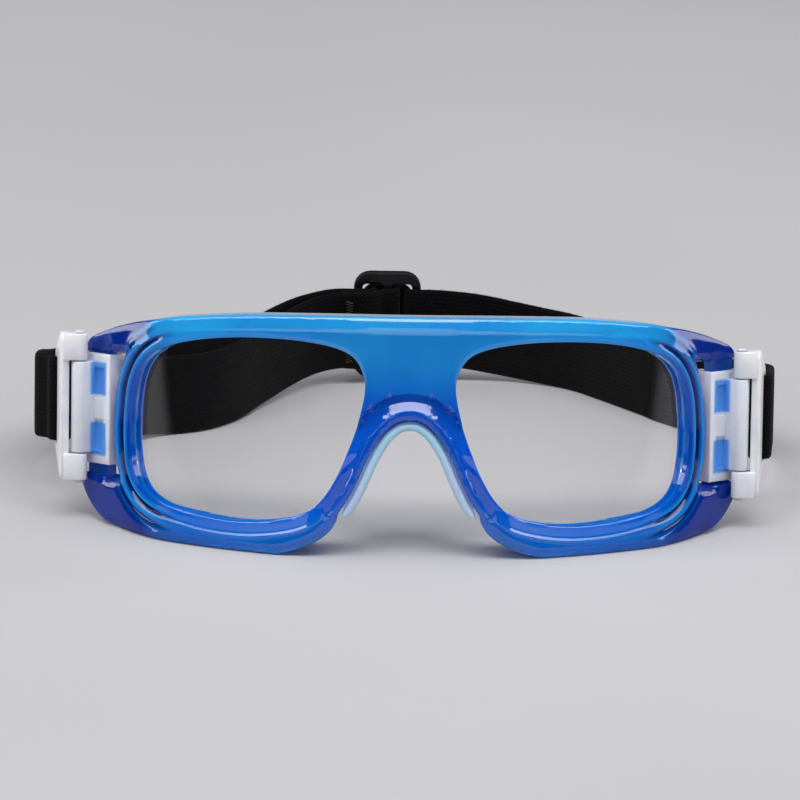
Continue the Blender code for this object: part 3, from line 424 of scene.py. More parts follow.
def mesh_of(name, points, faces, tones=None):
    """A welded mesh whose faces point out, with the named numbers that tones gives for each point."""
    mesh = bpy.data.meshes.new(name)
    mesh.from_pydata([tuple(p) for p in points], [], faces)
    for key, values in (tones or {}).items():
        mesh.attributes.new(key, "FLOAT", "POINT").data.foreach_set("value", values)
    work = bmesh.new()
    work.from_mesh(mesh)
    bmesh.ops.remove_doubles(work, verts=work.verts, dist=1e-6)
    bmesh.ops.recalc_face_normals(work, faces=work.faces)
    work.to_mesh(mesh)
    work.free()
    return mesh


def thinned(candidates, taken, least):
    """The candidates that stay this far from the points taken and from each other."""
    cells = {}

    def key(p):
        return (math.floor(p[0] / least), math.floor(p[1] / least))

    def near(p):
        i, j = key(p)
        return any(
            math.dist(p, q) < least
            for a in (i - 1, i, i + 1)
            for b in (j - 1, j, j + 1)
            for q in cells.get((a, b), ())
        )

    for p in taken:
        cells.setdefault(key(p), []).append(p)
    kept = []
    for p in candidates:
        if not near(p):
            cells.setdefault(key(p), []).append(p)
            kept.append(p)
    return kept


def moulded(name, loops, holes, lines, lattice, front, back, walls, lift, tone=None):
    """A relief over a flat outline with holes, bent round the wrap.

    The mesh has points on each loop, along the lines and over the lattice. Walls gives the points of each
    loop's wall between its front and its back, as (offset outward, depth) pairs: a depth is a share of the
    thickness there, or a list that holds the depth itself.
    """
    fixed = [p for loop in loops for p in loop]
    edges, first = [], 0
    for loop in loops:
        n = len(loop)
        edges += [(first + i, first + (i + 1) % n) for i in range(n)]
        first += n

    def in_material(points):
        found = inside(points, loops[0])
        for hole in holes:
            found &= ~inside(points, hole)
        return found

    def allowed(points, clear):
        points = np.array(points, float)
        keep = in_material(points)
        for loop in loops:
            keep &= distance(points, loop) > clear
        return [tuple(p) for p in points[keep]]

    on_lines = thinned(allowed(lines, LINE_CLEAR), fixed, LINE_GAP) if lines else []
    scattered = thinned(allowed(lattice, LATTICE_CLEAR), fixed + on_lines, LATTICE_GAP)
    points = fixed + on_lines + scattered
    flat_points = [Vector(p) for p in points]
    spots, _, triangles, sources, _, _ = delaunay_2d_cdt(flat_points, edges, [], 0, 1e-5, True)
    flat = np.array([(v.x, v.y) for v in spots])
    cells = np.array([tuple(c) for c in triangles])
    cells = cells[in_material(flat[cells].mean(1))]
    place = {old: new for new, olds in enumerate(sources) for old in olds}
    fd, bd = front(flat), back(flat)
    verts = [bent(u, lift(u, z, d), d) for (u, z), d in zip(flat, fd)]
    verts += [bent(u, lift(u, z, d), d) for (u, z), d in zip(flat, bd)]
    tones = tone(flat) if tone else {}
    shades = {key: list(values) * 2 for key, values in tones.items()}
    n = len(flat)
    faces = [(a, b, c) for a, b, c in cells] + [(c + n, b + n, a + n) for a, b, c in cells]
    start = 0
    for loop, wall in zip(loops, walls):
        ids = [place[start + i] for i in range(len(loop))]
        start += len(loop)
        rings = [ids]
        for out, depth in wall:
            line = offset(loop, out if area(loop) > 0 else -out)
            ring = []
            for i, (u, z) in zip(ids, line):
                d = fd[i] + (bd[i] - fd[i]) * depth if isinstance(depth, float) else depth[0]
                verts.append(bent(u, lift(u, z, d), d))
                for key, values in tones.items():
                    shades[key].append(values[i])
                ring.append(len(verts) - 1)
            rings.append(ring)
        rings.append([i + n for i in ids])
        for upper, under in zip(rings, rings[1:]):
            for i in range(len(ids)):
                j = (i + 1) % len(ids)
                faces.append((upper[i], upper[j], under[j], under[i]))
    return mesh_of(name, verts, [tuple(int(i) for i in f) for f in faces], shades)


def hexagonal(u_reach, z0, z1, step):
    """An even lattice of points, each row moved half a step from the last."""
    rows = int((z1 - z0) / (step * 0.866)) + 1
    across = int(u_reach / step) + 1
    return [
        ((i + 0.5 * (j % 2)) * step, z0 + j * step * 0.866)
        for j in range(rows)
        for i in range(-across, across + 1)
    ]


def both_sides(points):
    return points + [(-u, z) for u, z in points]


def build_frame(material):
    """The blue moulding: both rims, brow, nose arch, arms and upright bars."""
    lines = []
    for e in RIM_LINES:
        lines += offset(lens_right, e)
    for e in EDGE_LINES:
        lines += offset(window, -e if area(window) < 0 else e)
        lines += offset(half, -e if area(outline) > 0 else e, closed=False)
    lines += [(u, z - BROW_TALL - BROW_TALLER * float(ramp(*BROW_TURN, u))) for u, z in top_half]
    fine_arch = offset(smooth_open(arch_points, ARCH_FINE), -PAD_OFFSET, closed=False)
    for e in ARCH_LINES:
        lines += [p for p in offset(fine_arch, -e, closed=False) if p[0] > -0.01]
    half_ease = BAR_EASE / 2
    for z in (BAR_Z0 - BAR_EASE, BAR_Z0 - half_ease, BAR_Z0, BAR_Z1, BAR_Z1 + half_ease, BAR_Z1 + BAR_EASE):
        lines += straight((BAR_U0 - 0.5, z), (BAR_U1 + 0.5, z))

    def lift(u, z, d):
        """Height raised towards the back near the lower edge, so that the whole edge stands on the floor."""
        low = floor_z(abs(u))
        return z + math.tan(LEAN) * d * max(0.0, 1 - (z - low) / FOOT_REACH)

    plain_wall = [(0.0, 0.15), (0.0, 0.5), (0.0, 0.85)]
    groove = [(0.0, [GROOVE_D0]), (GROOVE_DEEP, [GROOVE_D0]), (GROOVE_DEEP, [GROOVE_D1]), (0.0, [GROOVE_D1])]
    mesh = moulded(
        "frame_moulding",
        [outline, lens_right, mirrored(lens_right), window, mirrored(window)],
        [lens_right, mirrored(lens_right), window, mirrored(window)],
        both_sides([p for p in lines if p[0] > -0.01]),
        hexagonal(86.0, -1.0, 56.0, 1.0),
        front_depth, back_depth,
        [plain_wall, groove, groove, plain_wall, plain_wall],
        lift, tones_and_painted_light,
    )  # fmt: skip
    obj = new_object("frame_moulding", mesh, material, 42)
    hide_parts("front_frame")
    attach(obj, "frame")


def build_lens(side, material):
    """A clear lens with its edge in the groove of the rim."""
    loop = offset(lens_right, LENS_INTO_GROOVE)
    if side == "left":
        loop = mirrored(loop)
    mesh = moulded(
        f"{side}_lens_clear", [loop], [], [], hexagonal(74.0, 2.0, 54.0, 1.8),
        lambda p: np.full(len(p), LENS_D0), lambda p: np.full(len(p), LENS_D1),
        [[(0.0, 0.5)]], lambda u, z, d: z,
    )  # fmt: skip
    obj = new_object(f"{side}_lens_clear", mesh, material, 40)
    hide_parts(f"{side}_lens")
    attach(obj, "frame")


def swept(name, rings):
    """A skin over closed rings of points, with both ends capped."""
    verts = [p for ring in rings for p in ring]
    n = len(rings[0])
    faces = [
        (i * n + j, i * n + (j + 1) % n, (i + 1) * n + (j + 1) % n, (i + 1) * n + j)
        for i in range(len(rings) - 1)
        for j in range(n)
    ]
    faces += [tuple(range(n - 1, -1, -1)), tuple(len(verts) - n + j for j in range(n))]
    return mesh_of(name, verts, faces)


def build_nose_pad(material):
    """Soft saddle: a web inside the arch and a lip that flares behind it, with round edges."""
    middle = smooth_open(PAD_SECTION, PAD_SECTION_STEP)
    path = smooth_open(arch_points, PAD_STEP)
    rings = []
    for i, p in enumerate(path):
        a, b = path[max(0, i - 1)], path[min(len(path) - 1, i + 1)]
        tx, tz = b[0] - a[0], b[1] - a[1]
        length = math.hypot(tx, tz)
        nx, nz = -tz / length, tx / length
        left = min(i, len(path) - 1 - i) * PAD_STEP
        end = min(1.0, PAD_LIP_LEAST + left / PAD_LIP_GROWS)
        thin = math.sqrt(min(1.0, (left + 0.25) / 1.3))
        outer, inner = [], []
        for k, (m, d) in enumerate(middle):
            q, r = middle[max(0, k - 1)], middle[min(len(middle) - 1, k + 1)]
            tm, td = r[0] - q[0], r[1] - q[1]
            size = math.hypot(tm, td)
            from_end = min(k, len(middle) - 1 - k) * PAD_SECTION_STEP
            round_off = math.sqrt(min(1.0, (from_end + 0.06) / 0.75))
            half_t = PAD_SHOWN / 2 * round_off * thin
            wide = (m if m <= 1.0 else 1.0 + (m - 1.0) * end) - (PAD_SHOWN - PAD_T) / 2
            for side, line in ((1, outer), (-1, inner)):
                mm, dd = wide + side * half_t * td / size, d - side * half_t * tm / size
                line.append(bent(p[0] + nx * mm, p[1] + nz * mm, dd))
        rings.append(outer + inner[::-1])
    obj = new_object("nose_pad_saddle", swept("nose_pad_saddle", rings), material, 60)
    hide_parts("nose_pad")
    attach(obj, "frame")


# ---- strap ---------------------------------------------------------------------------------------
def plate_frame(side):
    """Foot of a buckle's plate in plan, and the directions along it and through it."""
    sign = 1 if side == "right" else -1
    t = math.radians(PLATE_DEG)
    return (sign * PLATE_X, PLATE_Y), (sign * math.sin(t), math.cos(t)), (sign * math.cos(t), -math.sin(t))


def loop_path(side, ends):
    """Middle line of the webbing round the back bar of a buckle; ends gives (t, k) of the two tails."""
    mid = CLIP_MID_Z + CLIP_RISE[side] + BUCKLE_UP
    q, p, m = plate_frame(side)
    r = PLATE_T / 2 + LOOP_GAP + STRAP_T / 2
    centre = SLOT_T1 - LOOP_GAP - STRAP_T / 2 + r
    (ta, ka), (tb, kb) = ends
    flat = [(ta, ka), (ta - 2.5, ka), (LOOP_T, r)]
    flat += [(centre - r * math.sin(math.pi * j / 10), r * math.cos(math.pi * j / 10)) for j in range(11)]
    flat += [(LOOP_T, -r), (tb - 2.5, kb), (tb, kb)]
    return [
        leaned(q[0] + p[0] * t + m[0] * k, q[1] + p[1] * t + m[1] * k, mid)
        for t, k in smooth_open(flat, 1.0)
    ]


def by_slider(points):
    """Plan points from the slider's middle, at the height of the strap there."""
    return [(SLIDER_X + x, SLIDER_Y + y, SLIDER_Z) for x, y in points]


right_loop = loop_path("right", ((24.5, 0.95), (24.5, -0.95)))
left_loop = loop_path("left", ((25.0, 4.6), (25.0, -2.6)))
wrap_line = by_slider([
    (-12.5, -2.45), (-9.5, -2.35), (-7.4, -2.35), (-5.6, -1.85), (-5.1, 0.0), (-4.35, 1.8), (-2.95, 3.5),
    (-1.2, 4.0), (0.0, 4.05), (1.3, 4.0), (3.0, 3.5), (4.4, 1.8), (5.15, 0.0), (5.6, -1.85), (7.4, -2.35),
    (9.5, -2.35), (12.5, -2.45),
])  # fmt: skip
sewn_line = by_slider([
    (-12.5, -6.0), (-9.0, -6.0), (-6.6, -6.0), (-4.4, -5.5), (-2.2, -3.9), (-0.8, -2.55), (0.5, -2.3),
    (2.05, -1.85), (2.55, 0.0), (2.05, 1.85), (0.4, 2.25), (-1.3, 2.05), (-2.55, 1.0), (-3.0, -0.3),
    (-3.7, -1.8), (-4.7, -3.5), (-6.8, -4.2), (-9.0, -4.2), (-11.5, -4.2),
])  # fmt: skip
BACK_RIGHT = [
    (15.0, 134.4, 13.2), (24.0, 134.2, 11.6), (33.0, 132.2, 10.4), (41.0, 128.0, 10.06), (50.0, 118.5, 10.06),
    (59.0, 108.2, 10.06), (68.0, 99.8, 10.06), (77.0, 92.5, 10.6), (84.4, 83.0, 12.5), (87.3, 73.0, 14.9),
    (86.2, 62.0, 17.6),
]  # fmt: skip
OUTER_LEFT = [
    (-23.5, 132.4, 13.7), (-30.5, 127.8, 12.8), (-38.5, 117.8, 11.8), (-47.0, 105.4, 12.0),
    (-57.0, 98.2, 12.7), (-70.0, 93.4, 13.4), (-80.5, 84.6, 14.4), (-86.8, 73.5, 16.2), (-88.6, 63.0, 19.4),
]  # fmt: skip
INNER_LEFT = [
    (-24.2, 127.6, 13.5), (-29.8, 121.6, 12.5), (-36.6, 111.4, 11.1), (-43.4, 99.4, 10.2),
    (-51.5, 91.6, 10.1), (-64.0, 86.4, 10.8), (-75.0, 77.4, 13.8), (-80.9, 67.0, 17.7),
]  # fmt: skip


def joined(stretches):
    """One smooth line through stretches of (points, lean at start, lean at end); gives points and leans."""
    points, leans = [], []
    for part, lean0, lean1 in stretches:
        for i, p in enumerate(part):
            s = i / max(1, len(part) - 1)
            points.append(p)
            eased = lean0 * (1 - ramp(0.05, 0.3, s)) + lean1 * ramp(0.7, 0.95, s)
            leans.append(eased if lean0 != lean1 else lean0)
    line = smooth_open([(*p, lean) for p, lean in zip(points, leans)], STRAP_STEP)
    return [p[:3] for p in line], [p[3] for p in line]


def band_ring():
    """Section of the band with soft edges, as (across, through) pairs."""
    edge = [(10.0, 0.0), (9.93, 0.35), (9.6, 0.6), (8.8, 0.72), (6.0, 0.75), (3.0, 0.75)]
    face = [(-w, k) for w, k in edge] + [(0.0, 0.75)] + edge[::-1]
    return face + [(w, -k) for w, k in face[-2:0:-1]]


STRAP_STEP = 1.3  # length between two rings of the band
FIBRES = 5  # loose fibres to each step and edge of the band
FIBRE_ROOT, FIBRE_HALF, FIBRE_REACH, FIBRE_LEAN, FIBRE_RISE = 0.15, 0.05, (0.2, 0.6), 0.4, 0.35
FIBRE_LOWEST = 0.1  # clear of the floor
RING = band_ring()


def band_frames(line, leans):
    """At each point of the band: place, direction, width and thickness directions, and length so far."""
    upright, leaning = Vector((0, 0, 1)), Vector((0, math.sin(LEAN), math.cos(LEAN)))
    frames, run = [], 0.0
    for i, (p, lean) in enumerate(zip(line, leans)):
        a, b = Vector(line[max(0, i - 1)]), Vector(line[min(len(line) - 1, i + 1)])
        t = (b - a).normalized()
        up = upright.lerp(leaning, lean)
        w = (up - up.dot(t) * t).normalized()
        frames.append((Vector(p), t, w, t.cross(w), run))
        run += math.dist(p, line[min(len(line) - 1, i + 1)])
    return frames


def webbing(name, frames, material):
    """A stretch of elastic webbing, with its weave laid out in metres and a fringe of fine loose fibres."""
    work = bmesh.new()
    laid = work.loops.layers.uv.new("weave")
    rings = [[work.verts.new(world(*(p + w * x + k * y))) for x, y in RING] for p, t, w, k, s in frames]
    place = {
        v: (frame_at[4] * MM, x * MM)
        for ring, frame_at in zip(rings, frames)
        for v, (x, _) in zip(ring, RING)
    }
    n = len(RING)
    for low, high in zip(rings, rings[1:]):
        for j in range(n):
            work.faces.new((low[j], low[(j + 1) % n], high[(j + 1) % n], high[j]))
    for cap in (rings[0][::-1], rings[-1]):
        work.faces.new(cap)
    for face in work.faces:
        for corner in face.loops:
            corner[laid].uv = place[corner.vert]
    bmesh.ops.recalc_face_normals(work, faces=work.faces)
    for (p, t, w, k, s), after in zip(frames, frames[1:]):
        for edge in (-1, 1):
            for _ in range(FIBRES):
                root = p.lerp(after[0], random.random())
                root += w * edge * (STRAP_W / 2 - FIBRE_ROOT)
                root += k * random.uniform(-FIBRE_LEAN, FIBRE_LEAN)
                tip = root + w * edge * random.uniform(*FIBRE_REACH)
                tip += t * random.uniform(-FIBRE_LEAN, FIBRE_LEAN)
                tip += k * random.uniform(-FIBRE_RISE, FIBRE_RISE)
                tip.z = max(tip.z, FIBRE_LOWEST)
                corners = (root - t * FIBRE_HALF, root + t * FIBRE_HALF, tip)
                fibre = work.faces.new([work.verts.new(world(*c)) for c in corners])
                for corner in fibre.loops:
                    corner[laid].uv = (s * MM, edge * STRAP_W / 2 * MM)
    mesh = bpy.data.meshes.new(name)
    work.to_mesh(mesh)
    work.free()
    return new_object(name, mesh, material, 60)


def build_strap(material):
    """The whole band, cut into pieces where two bodies share a stretch; a piece on one body is attached to
    it, and the rest stay in place.
    """
    whole, leans = joined([
        (right_loop[::-1], 1, 1), (BACK_RIGHT[::-1], 1, 0), (wrap_line[::-1], 0, 0), (OUTER_LEFT, 0, 1),
        (left_loop, 1, 1), (INNER_LEFT[::-1], 1, 0), (sewn_line, 0, 0),
    ])  # fmt: skip

    def at(point):
        """Which step of the band lies nearest to this point."""
        return min(range(len(whole)), key=lambda i: math.dist(whole[i], point))

    near_right, mid_right = at(BACK_RIGHT[-1]), at(BACK_RIGHT[-3])
    mid_left, near_left = at(OUTER_LEFT[-3]), at(OUTER_LEFT[-1])
    near_inner, mid_inner = at(INNER_LEFT[-1]), at(INNER_LEFT[-3])
    loop_right, loop_left = at(right_loop[2]), at(left_loop[2])
    wrap0, wrap1, sewn0 = at(wrap_line[-1]), at(wrap_line[0]), at(sewn_line[0])
    pieces = [
        ("strap_right_end", 0, near_right, "right_buckle_body", "right_clip_body", loop_right, near_right),
        ("strap_right_near", near_right, mid_right, "right_clip_body", "frame", near_right, mid_right),
        ("strap_right_back", mid_right, wrap0, "frame", "slider_body", mid_right, wrap0),
        ("strap_through_slider", wrap0, wrap1, "slider_body", None, 0, 0),
        ("strap_left_back", wrap1, mid_left, "slider_body", "frame", wrap1, mid_left),
        ("strap_left_near", mid_left, near_left, "frame", "left_clip_body", mid_left, near_left),
        ("strap_left_end", near_left, near_inner, "left_clip_body", "left_buckle_body", near_left, loop_left),
        ("strap_inner_near", near_inner, mid_inner, "left_clip_body", "frame", near_inner, mid_inner),
        ("strap_inner_back", mid_inner, sewn0, "frame", "slider_body", mid_inner, sewn0),
        ("strap_sewn_end", sewn0, len(whole) - 1, "slider_body", None, 0, 0),
    ]
    stands_for = {
        "strap_right_end": ["strap_right_loop"], "strap_right_back": ["strap_back_right"],
        "strap_through_slider": ["strap_slider_wrap"], "strap_left_back": ["strap_outer_left"],
        "strap_left_end": ["strap_left_loop"], "strap_inner_back": ["strap_inner_left"],
        "strap_sewn_end": ["strap_slider_loop"],
    }  # fmt: skip
    frames = band_frames(whole, leans)
    for name, i, j, a, b, start, end in pieces:
        obj = webbing(name, frames[i : j + 1], material)
        if b is None:
            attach(obj, a)
        else:
            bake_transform(obj)
        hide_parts(*stands_for.get(name, []))


FLAT_WITHIN, SHARP_OVER = math.radians(1.5), math.radians(38)


def softened(node, body, material, radius):
    """A moulded part of the model with its sharp edges rounded."""
    source = frame["nodes"][node]
    work = bmesh.new()
    work.from_mesh(source.data)
    work.transform(source.matrix_world)
    bmesh.ops.remove_doubles(work, verts=work.verts, dist=1e-6)
    bmesh.ops.dissolve_limit(work, angle_limit=FLAT_WITHIN, verts=work.verts, edges=work.edges)
    sharp = [e for e in work.edges if len(e.link_faces) == 2 and e.calc_face_angle() > SHARP_OVER]
    bmesh.ops.bevel(
        work, geom=sharp, offset=radius, segments=3, profile=0.5, affect="EDGES", clamp_overlap=True
    )
    bmesh.ops.recalc_face_normals(work, faces=work.faces)
    name = f"{node}_moulding"
    mesh = bpy.data.meshes.new(name)
    work.to_mesh(mesh)
    work.free()
    obj = new_object(name, mesh, material, 30)
    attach(obj, body)
    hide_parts(node)


THREAD_RADIUS, STITCHES = 0.00014, 44


def build_bar_tack(name, node, body, material):
    """A dense zigzag of thread over the block that the model keeps for it."""
    points = np.array([v.co for v in frame["nodes"][node].data.vertices])
    centre = points.mean(0)
    axes = np.linalg.svd(points - centre)[2]
    extent = np.abs((points - centre) @ axes.T).max(0)
    long, short = Vector(axes[0]), Vector(axes[1])
    middle = Vector(centre)
    curve = bpy.data.curves.new(name, "CURVE")
    curve.dimensions = "3D"
    curve.bevel_depth, curve.bevel_resolution = THREAD_RADIUS, 2
    zigzag = curve.splines.new("POLY")
    zigzag.points.add(STITCHES)
    for i, point in enumerate(zigzag.points):
        down = (i / STITCHES * 2 - 1) * extent[0]
        across = (1 if i % 2 else -1) * extent[1] * 0.95
        point.co = (*(middle + long * down + short * across), 1.0)
    holder = bpy.data.objects.new(name, curve)
    bpy.context.scene.collection.objects.link(holder)
    graph = bpy.context.evaluated_depsgraph_get()
    stitched = bpy.data.meshes.new_from_object(holder.evaluated_get(graph))
    bpy.data.objects.remove(holder)
    obj = new_object(name, stitched, material, 60)
    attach(obj, body)
    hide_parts(node)


# ---- materials -----------------------------------------------------------------------------------
def srgb(r, g, b):
    """A colour given as 0-255 screen values."""
    linear = (((c / 255 + 0.055) / 1.055) ** 2.4 if c > 10 else c / 255 / 12.92 for c in (r, g, b))
    return (*linear, 1.0)


class Finish:
    """One material and short names for wiring its nodes."""

    def __init__(self, name, colour, roughness, **inputs):
        self.mat = bpy.data.materials.new(name)
        self.mat.use_nodes = True
        self.tree = self.mat.node_tree
        self.shader = self.tree.nodes["Principled BSDF"]
        self.set(self.shader, {"Base Color": colour, "Roughness": roughness, **inputs})
        self.coords = self.tree.nodes.new("ShaderNodeTexCoord")

    def set(self, node, inputs):
        """Links or sets each input of the node."""
        for key, value in inputs.items():
            if isinstance(value, bpy.types.NodeSocket):
                self.tree.links.new(value, node.inputs[key])
            else:
                node.inputs[key].default_value = value

    def node(self, kind, inputs=None, **settings):
        node = self.tree.nodes.new(kind)
        for key, value in settings.items():
            setattr(node, key, value)
        self.set(node, inputs or {})
        return node

    def maths(self, operation, a, b=0.0):
        return self.node("ShaderNodeMath", {0: a, 1: b}, operation=operation).outputs[0]

    def ramp(self, value, low, high, to_low=0.0, to_high=1.0):
        inputs = {"Value": value, 1: low, 2: high, 3: to_low, 4: to_high}
        return self.node("ShaderNodeMapRange", inputs, interpolation_type="SMOOTHSTEP").outputs[0]

    def mix(self, share, a, b):
        """Colour a where share is 0, and b where it is 1."""
        return self.node("ShaderNodeMix", {0: share, 6: a, 7: b}, data_type="RGBA").outputs[2]

    def noise(self, scale, detail):
        inputs = {"Scale": scale, "Detail": detail, "Vector": self.coords.outputs["Object"]}
        return self.node("ShaderNodeTexNoise", inputs).outputs["Fac"]

    def split(self, vector=None):
        return self.node("ShaderNodeSeparateXYZ", {0: vector or self.coords.outputs["Object"]}).outputs

    def attribute(self, name):
        return self.node("ShaderNodeAttribute", attribute_name=name).outputs["Fac"]

    def bump(self, height, strength, distance, coat=False, soften=0.0):
        """Fine relief, over edges rounded by the soften radius."""
        inputs = {"Height": height, "Strength": strength, "Distance": distance}
        if soften:
            inputs["Normal"] = self.node("ShaderNodeBevel", {"Radius": soften}, samples=6).outputs[0]
        node = self.node("ShaderNodeBump", inputs)
        self.set(self.shader, {"Normal": node.outputs[0]})
        if coat:
            self.set(self.shader, {"Coat Normal": node.outputs[0]})


def blue_plastic():
    """Tinted translucent moulding: painted highlights along the top, the brow band and the ridges, painted
    shade in the grooves, and deep on the arms.
    """
    f = Finish("frame_blue_plastic", srgb(0, 100, 225), 0.06, **{
        "IOR": 1.45, "Specular IOR Level": 0.35, "Transmission Weight": 0.45, "Coat Roughness": 0.02,
        "Subsurface Weight": 0.5, "Subsurface Scale": 0.005, "Subsurface Radius": (0.2, 0.7, 1.0),
    })  # fmt: skip
    x, _, z = f.split()
    # Painted light: lighter towards the top for the lamps above reflected in the front, and lighter along the
    # bottom edge.
    body = f.mix(f.ramp(z, 0.032, 0.049), srgb(0, 104, 228), srgb(44, 178, 255))
    body = f.mix(f.ramp(z, 0.016, 0.002), body, srgb(5, 126, 226))
    aside = f.ramp(f.maths("ABSOLUTE", x), 0.052, 0.066)
    f.set(f.shader, {"Coat Weight": f.ramp(f.maths("ABSOLUTE", x), 0.015, 0.05, 1.0, 0.12)})
    body = f.mix(f.maths("MULTIPLY", aside, 0.7), body, srgb(0, 78, 182))
    # Painted shade in the grooves and painted highlights on the ridges of the rims' sides.
    body = f.mix(f.attribute("groove_tone"), body, srgb(0, 30, 104))
    body = f.mix(f.attribute("ridge_tone"), body, srgb(40, 165, 255))
    # Painted highlight along the brow band, for the lamps reflected in its bevel.
    body = f.mix(f.attribute("brow_tone"), body, srgb(48, 186, 255))
    deep = f.mix(f.attribute("arm_tone"), body, srgb(0, 48, 160))
    cloud = f.ramp(f.noise(60.0, 2.0), 0.3, 0.75, 0.0, 0.2)
    f.set(f.shader, {"Base Color": f.mix(cloud, deep, srgb(0, 84, 205))})
    f.set(f.shader, {"Roughness": f.ramp(f.noise(350.0, 4.0), 0.2, 0.9, 0.03, 0.09)})
    f.bump(f.noise(70.0, 2.0), 0.05, 0.0005, coat=True)
    return f.mat


def clear_lens():
    """Polished polycarbonate that lets lamps through, with the faintest smear on it."""
    f = Finish("lens_clear_polycarbonate", (0.995, 0.998, 1.0, 1.0), 0.01, **{
        "IOR": 1.45, "Transmission Weight": 1.0,
    })  # fmt: skip
    f.set(f.shader, {"Roughness": f.ramp(f.noise(30.0, 5.0), 0.4, 0.8, 0.0, 0.035)})
    path = f.node("ShaderNodeLightPath")
    through = f.node("ShaderNodeBsdfTransparent", {"Color": (0.97, 0.98, 0.985, 1.0)})
    inputs = {0: path.outputs["Is Shadow Ray"], 1: f.shader.outputs[0], 2: through.outputs[0]}
    both = f.node("ShaderNodeMixShader", inputs)
    f.tree.links.new(both.outputs[0], f.tree.nodes["Material Output"].inputs["Surface"])
    return f.mat


def silicone():
    """Soft clear silicone, painted bluer at its top for the frame's blue light in it, paling down the legs.
    """
    f = Finish("pad_clear_silicone", srgb(140, 195, 248), 0.32, **{
        "IOR": 1.42, "Transmission Weight": 0.12, "Subsurface Weight": 0.4, "Subsurface Scale": 0.002,
    })  # fmt: skip
    z = f.split()["Z"]
    # Painted blue light from the frame: bluer towards the top.
    body = f.mix(f.ramp(z, 0.012, 0.030), srgb(196, 218, 248), srgb(182, 228, 255))
    f.set(f.shader, {"Base Color": body})
    f.set(f.shader, {"Roughness": f.ramp(f.noise(500.0, 3.0), 0.3, 0.8, 0.28, 0.38)})
    return f.mat


# Edges of a clip's two windows in the clip's own frame, in metres: each runs from no tint to full tint.
WINDOW_BOTTOM, WINDOW_TOP = (0.0029, 0.0036), (0.0114, 0.0106)
WINDOW_NEAR, WINDOW_FAR = (-0.0040, -0.0034), (0.0022, 0.0015)
WINDOW_FRONT, WINDOW_TINT = (-0.0042, -0.0030), 0.94


def frosted(name, white, side=None):
    """Etched translucent nylon. On a clip, the two thin windows are painted blue for the blue bar behind seen
    through them.
    """
    f = Finish(name, white, 0.36, **{
        "IOR": 1.5, "Transmission Weight": 0.18, "Subsurface Weight": 0.5, "Subsurface Scale": 0.0015,
        "Coat Weight": 0.25, "Coat Roughness": 0.18,
    })  # fmt: skip
    colour = f.mix(f.ramp(f.noise(160.0, 3.0), 0.35, 0.75, 0.0, 0.5), white, srgb(214, 220, 240))
    if side:
        x, y, z = f.split(clip_space(f, side))
        out = f.maths("MULTIPLY", x, 1.0 if side == "right" else -1.0)
        rise = f.maths("ABSOLUTE", z)
        tall = f.maths("MULTIPLY", f.ramp(rise, *WINDOW_BOTTOM), f.ramp(rise, *WINDOW_TOP))
        across = f.maths("MULTIPLY", f.ramp(out, *WINDOW_NEAR), f.ramp(out, *WINDOW_FAR))
        behind_barrel = f.maths("MULTIPLY", across, f.ramp(y, *WINDOW_FRONT))
        share = f.maths("MULTIPLY", tall, f.maths("MULTIPLY", behind_barrel, WINDOW_TINT))
        # Painted see-through: blue where the bar behind shows through the thin windows.
        colour = f.mix(share, colour, srgb(70, 160, 252))
    f.set(f.shader, {"Base Color": colour})
    f.set(f.shader, {"Roughness": f.ramp(f.noise(700.0, 4.0), 0.25, 0.8, 0.28, 0.46)})
    f.bump(f.noise(1500.0, 3.0), 0.1, 0.0001, soften=0.0005)
    return f.mat


def clip_space(f, side):
    """Coordinates in the clip's own frame: along the arm, through it, and up the bar."""
    sign = 1 if side == "right" else -1
    middle_u, middle_d = (BAR_U0 + BAR_U1) / 2, (BAR_D0 + BAR_D1) / 2
    upright = Matrix.Translation((0, -Y_MIDDLE * MM, FLOOR_LIFT * MM)) @ Matrix.Rotation(-LEAN, 4, "X")
    arm = Matrix.Translation((sign * X2 * MM, Y2 * MM, 0)) @ Matrix.Rotation(sign * A2, 4, "Z")
    rise = CLIP_MID_Z + CLIP_RISE[side]
    inward = Matrix.Translation((sign * (middle_u - U2) * MM, middle_d * MM, rise * MM))
    place = upright @ arm @ inward
    inputs = {
        "Vector": f.coords.outputs["Object"],
        "Location": place.to_translation(),
        "Rotation": place.to_euler(),
    }
    return f.node("ShaderNodeMapping", inputs, vector_type="TEXTURE").outputs[0]


RIB_PITCH, PICK_PITCH = 0.0011, 0.0009


def elastic():
    """Black knitted elastic: ribs along the band, picks across it, and a matt bloom of loose fibre."""
    f = Finish("strap_black_elastic", srgb(9, 8, 11), 0.85, **{
        "Sheen Weight": 0.03, "Sheen Roughness": 0.5, "Specular IOR Level": 0.06,
    })  # fmt: skip
    weave = f.node("ShaderNodeUVMap", uv_map="weave").outputs[0]
    u, v, _ = f.split(weave)
    rib = f.maths("ABSOLUTE", f.maths("SINE", f.maths("MULTIPLY", v, math.pi / RIB_PITCH)))
    row = f.maths("MULTIPLY", v, 1 / RIB_PITCH)
    step = f.maths("MULTIPLY", f.maths("FLOOR", row), 0.5)
    turns = f.maths("ADD", f.maths("MULTIPLY", u, 1 / PICK_PITCH), step)
    pick = f.maths("ABSOLUTE", f.maths("SINE", f.maths("MULTIPLY", turns, math.pi)))
    fibre = f.noise(2600.0, 3.0)
    height = f.maths("ADD", f.maths("MULTIPLY", rib, pick), f.maths("MULTIPLY", fibre, 0.5))
    f.set(f.shader, {"Base Color": f.mix(f.ramp(height, 0.2, 1.3), srgb(1, 1, 2), srgb(11, 10, 13))})
    f.set(f.shader, {"Roughness": f.ramp(fibre, 0.2, 0.8, 0.7, 0.95)})
    f.bump(height, 0.45, 0.0002)
    return f.mat


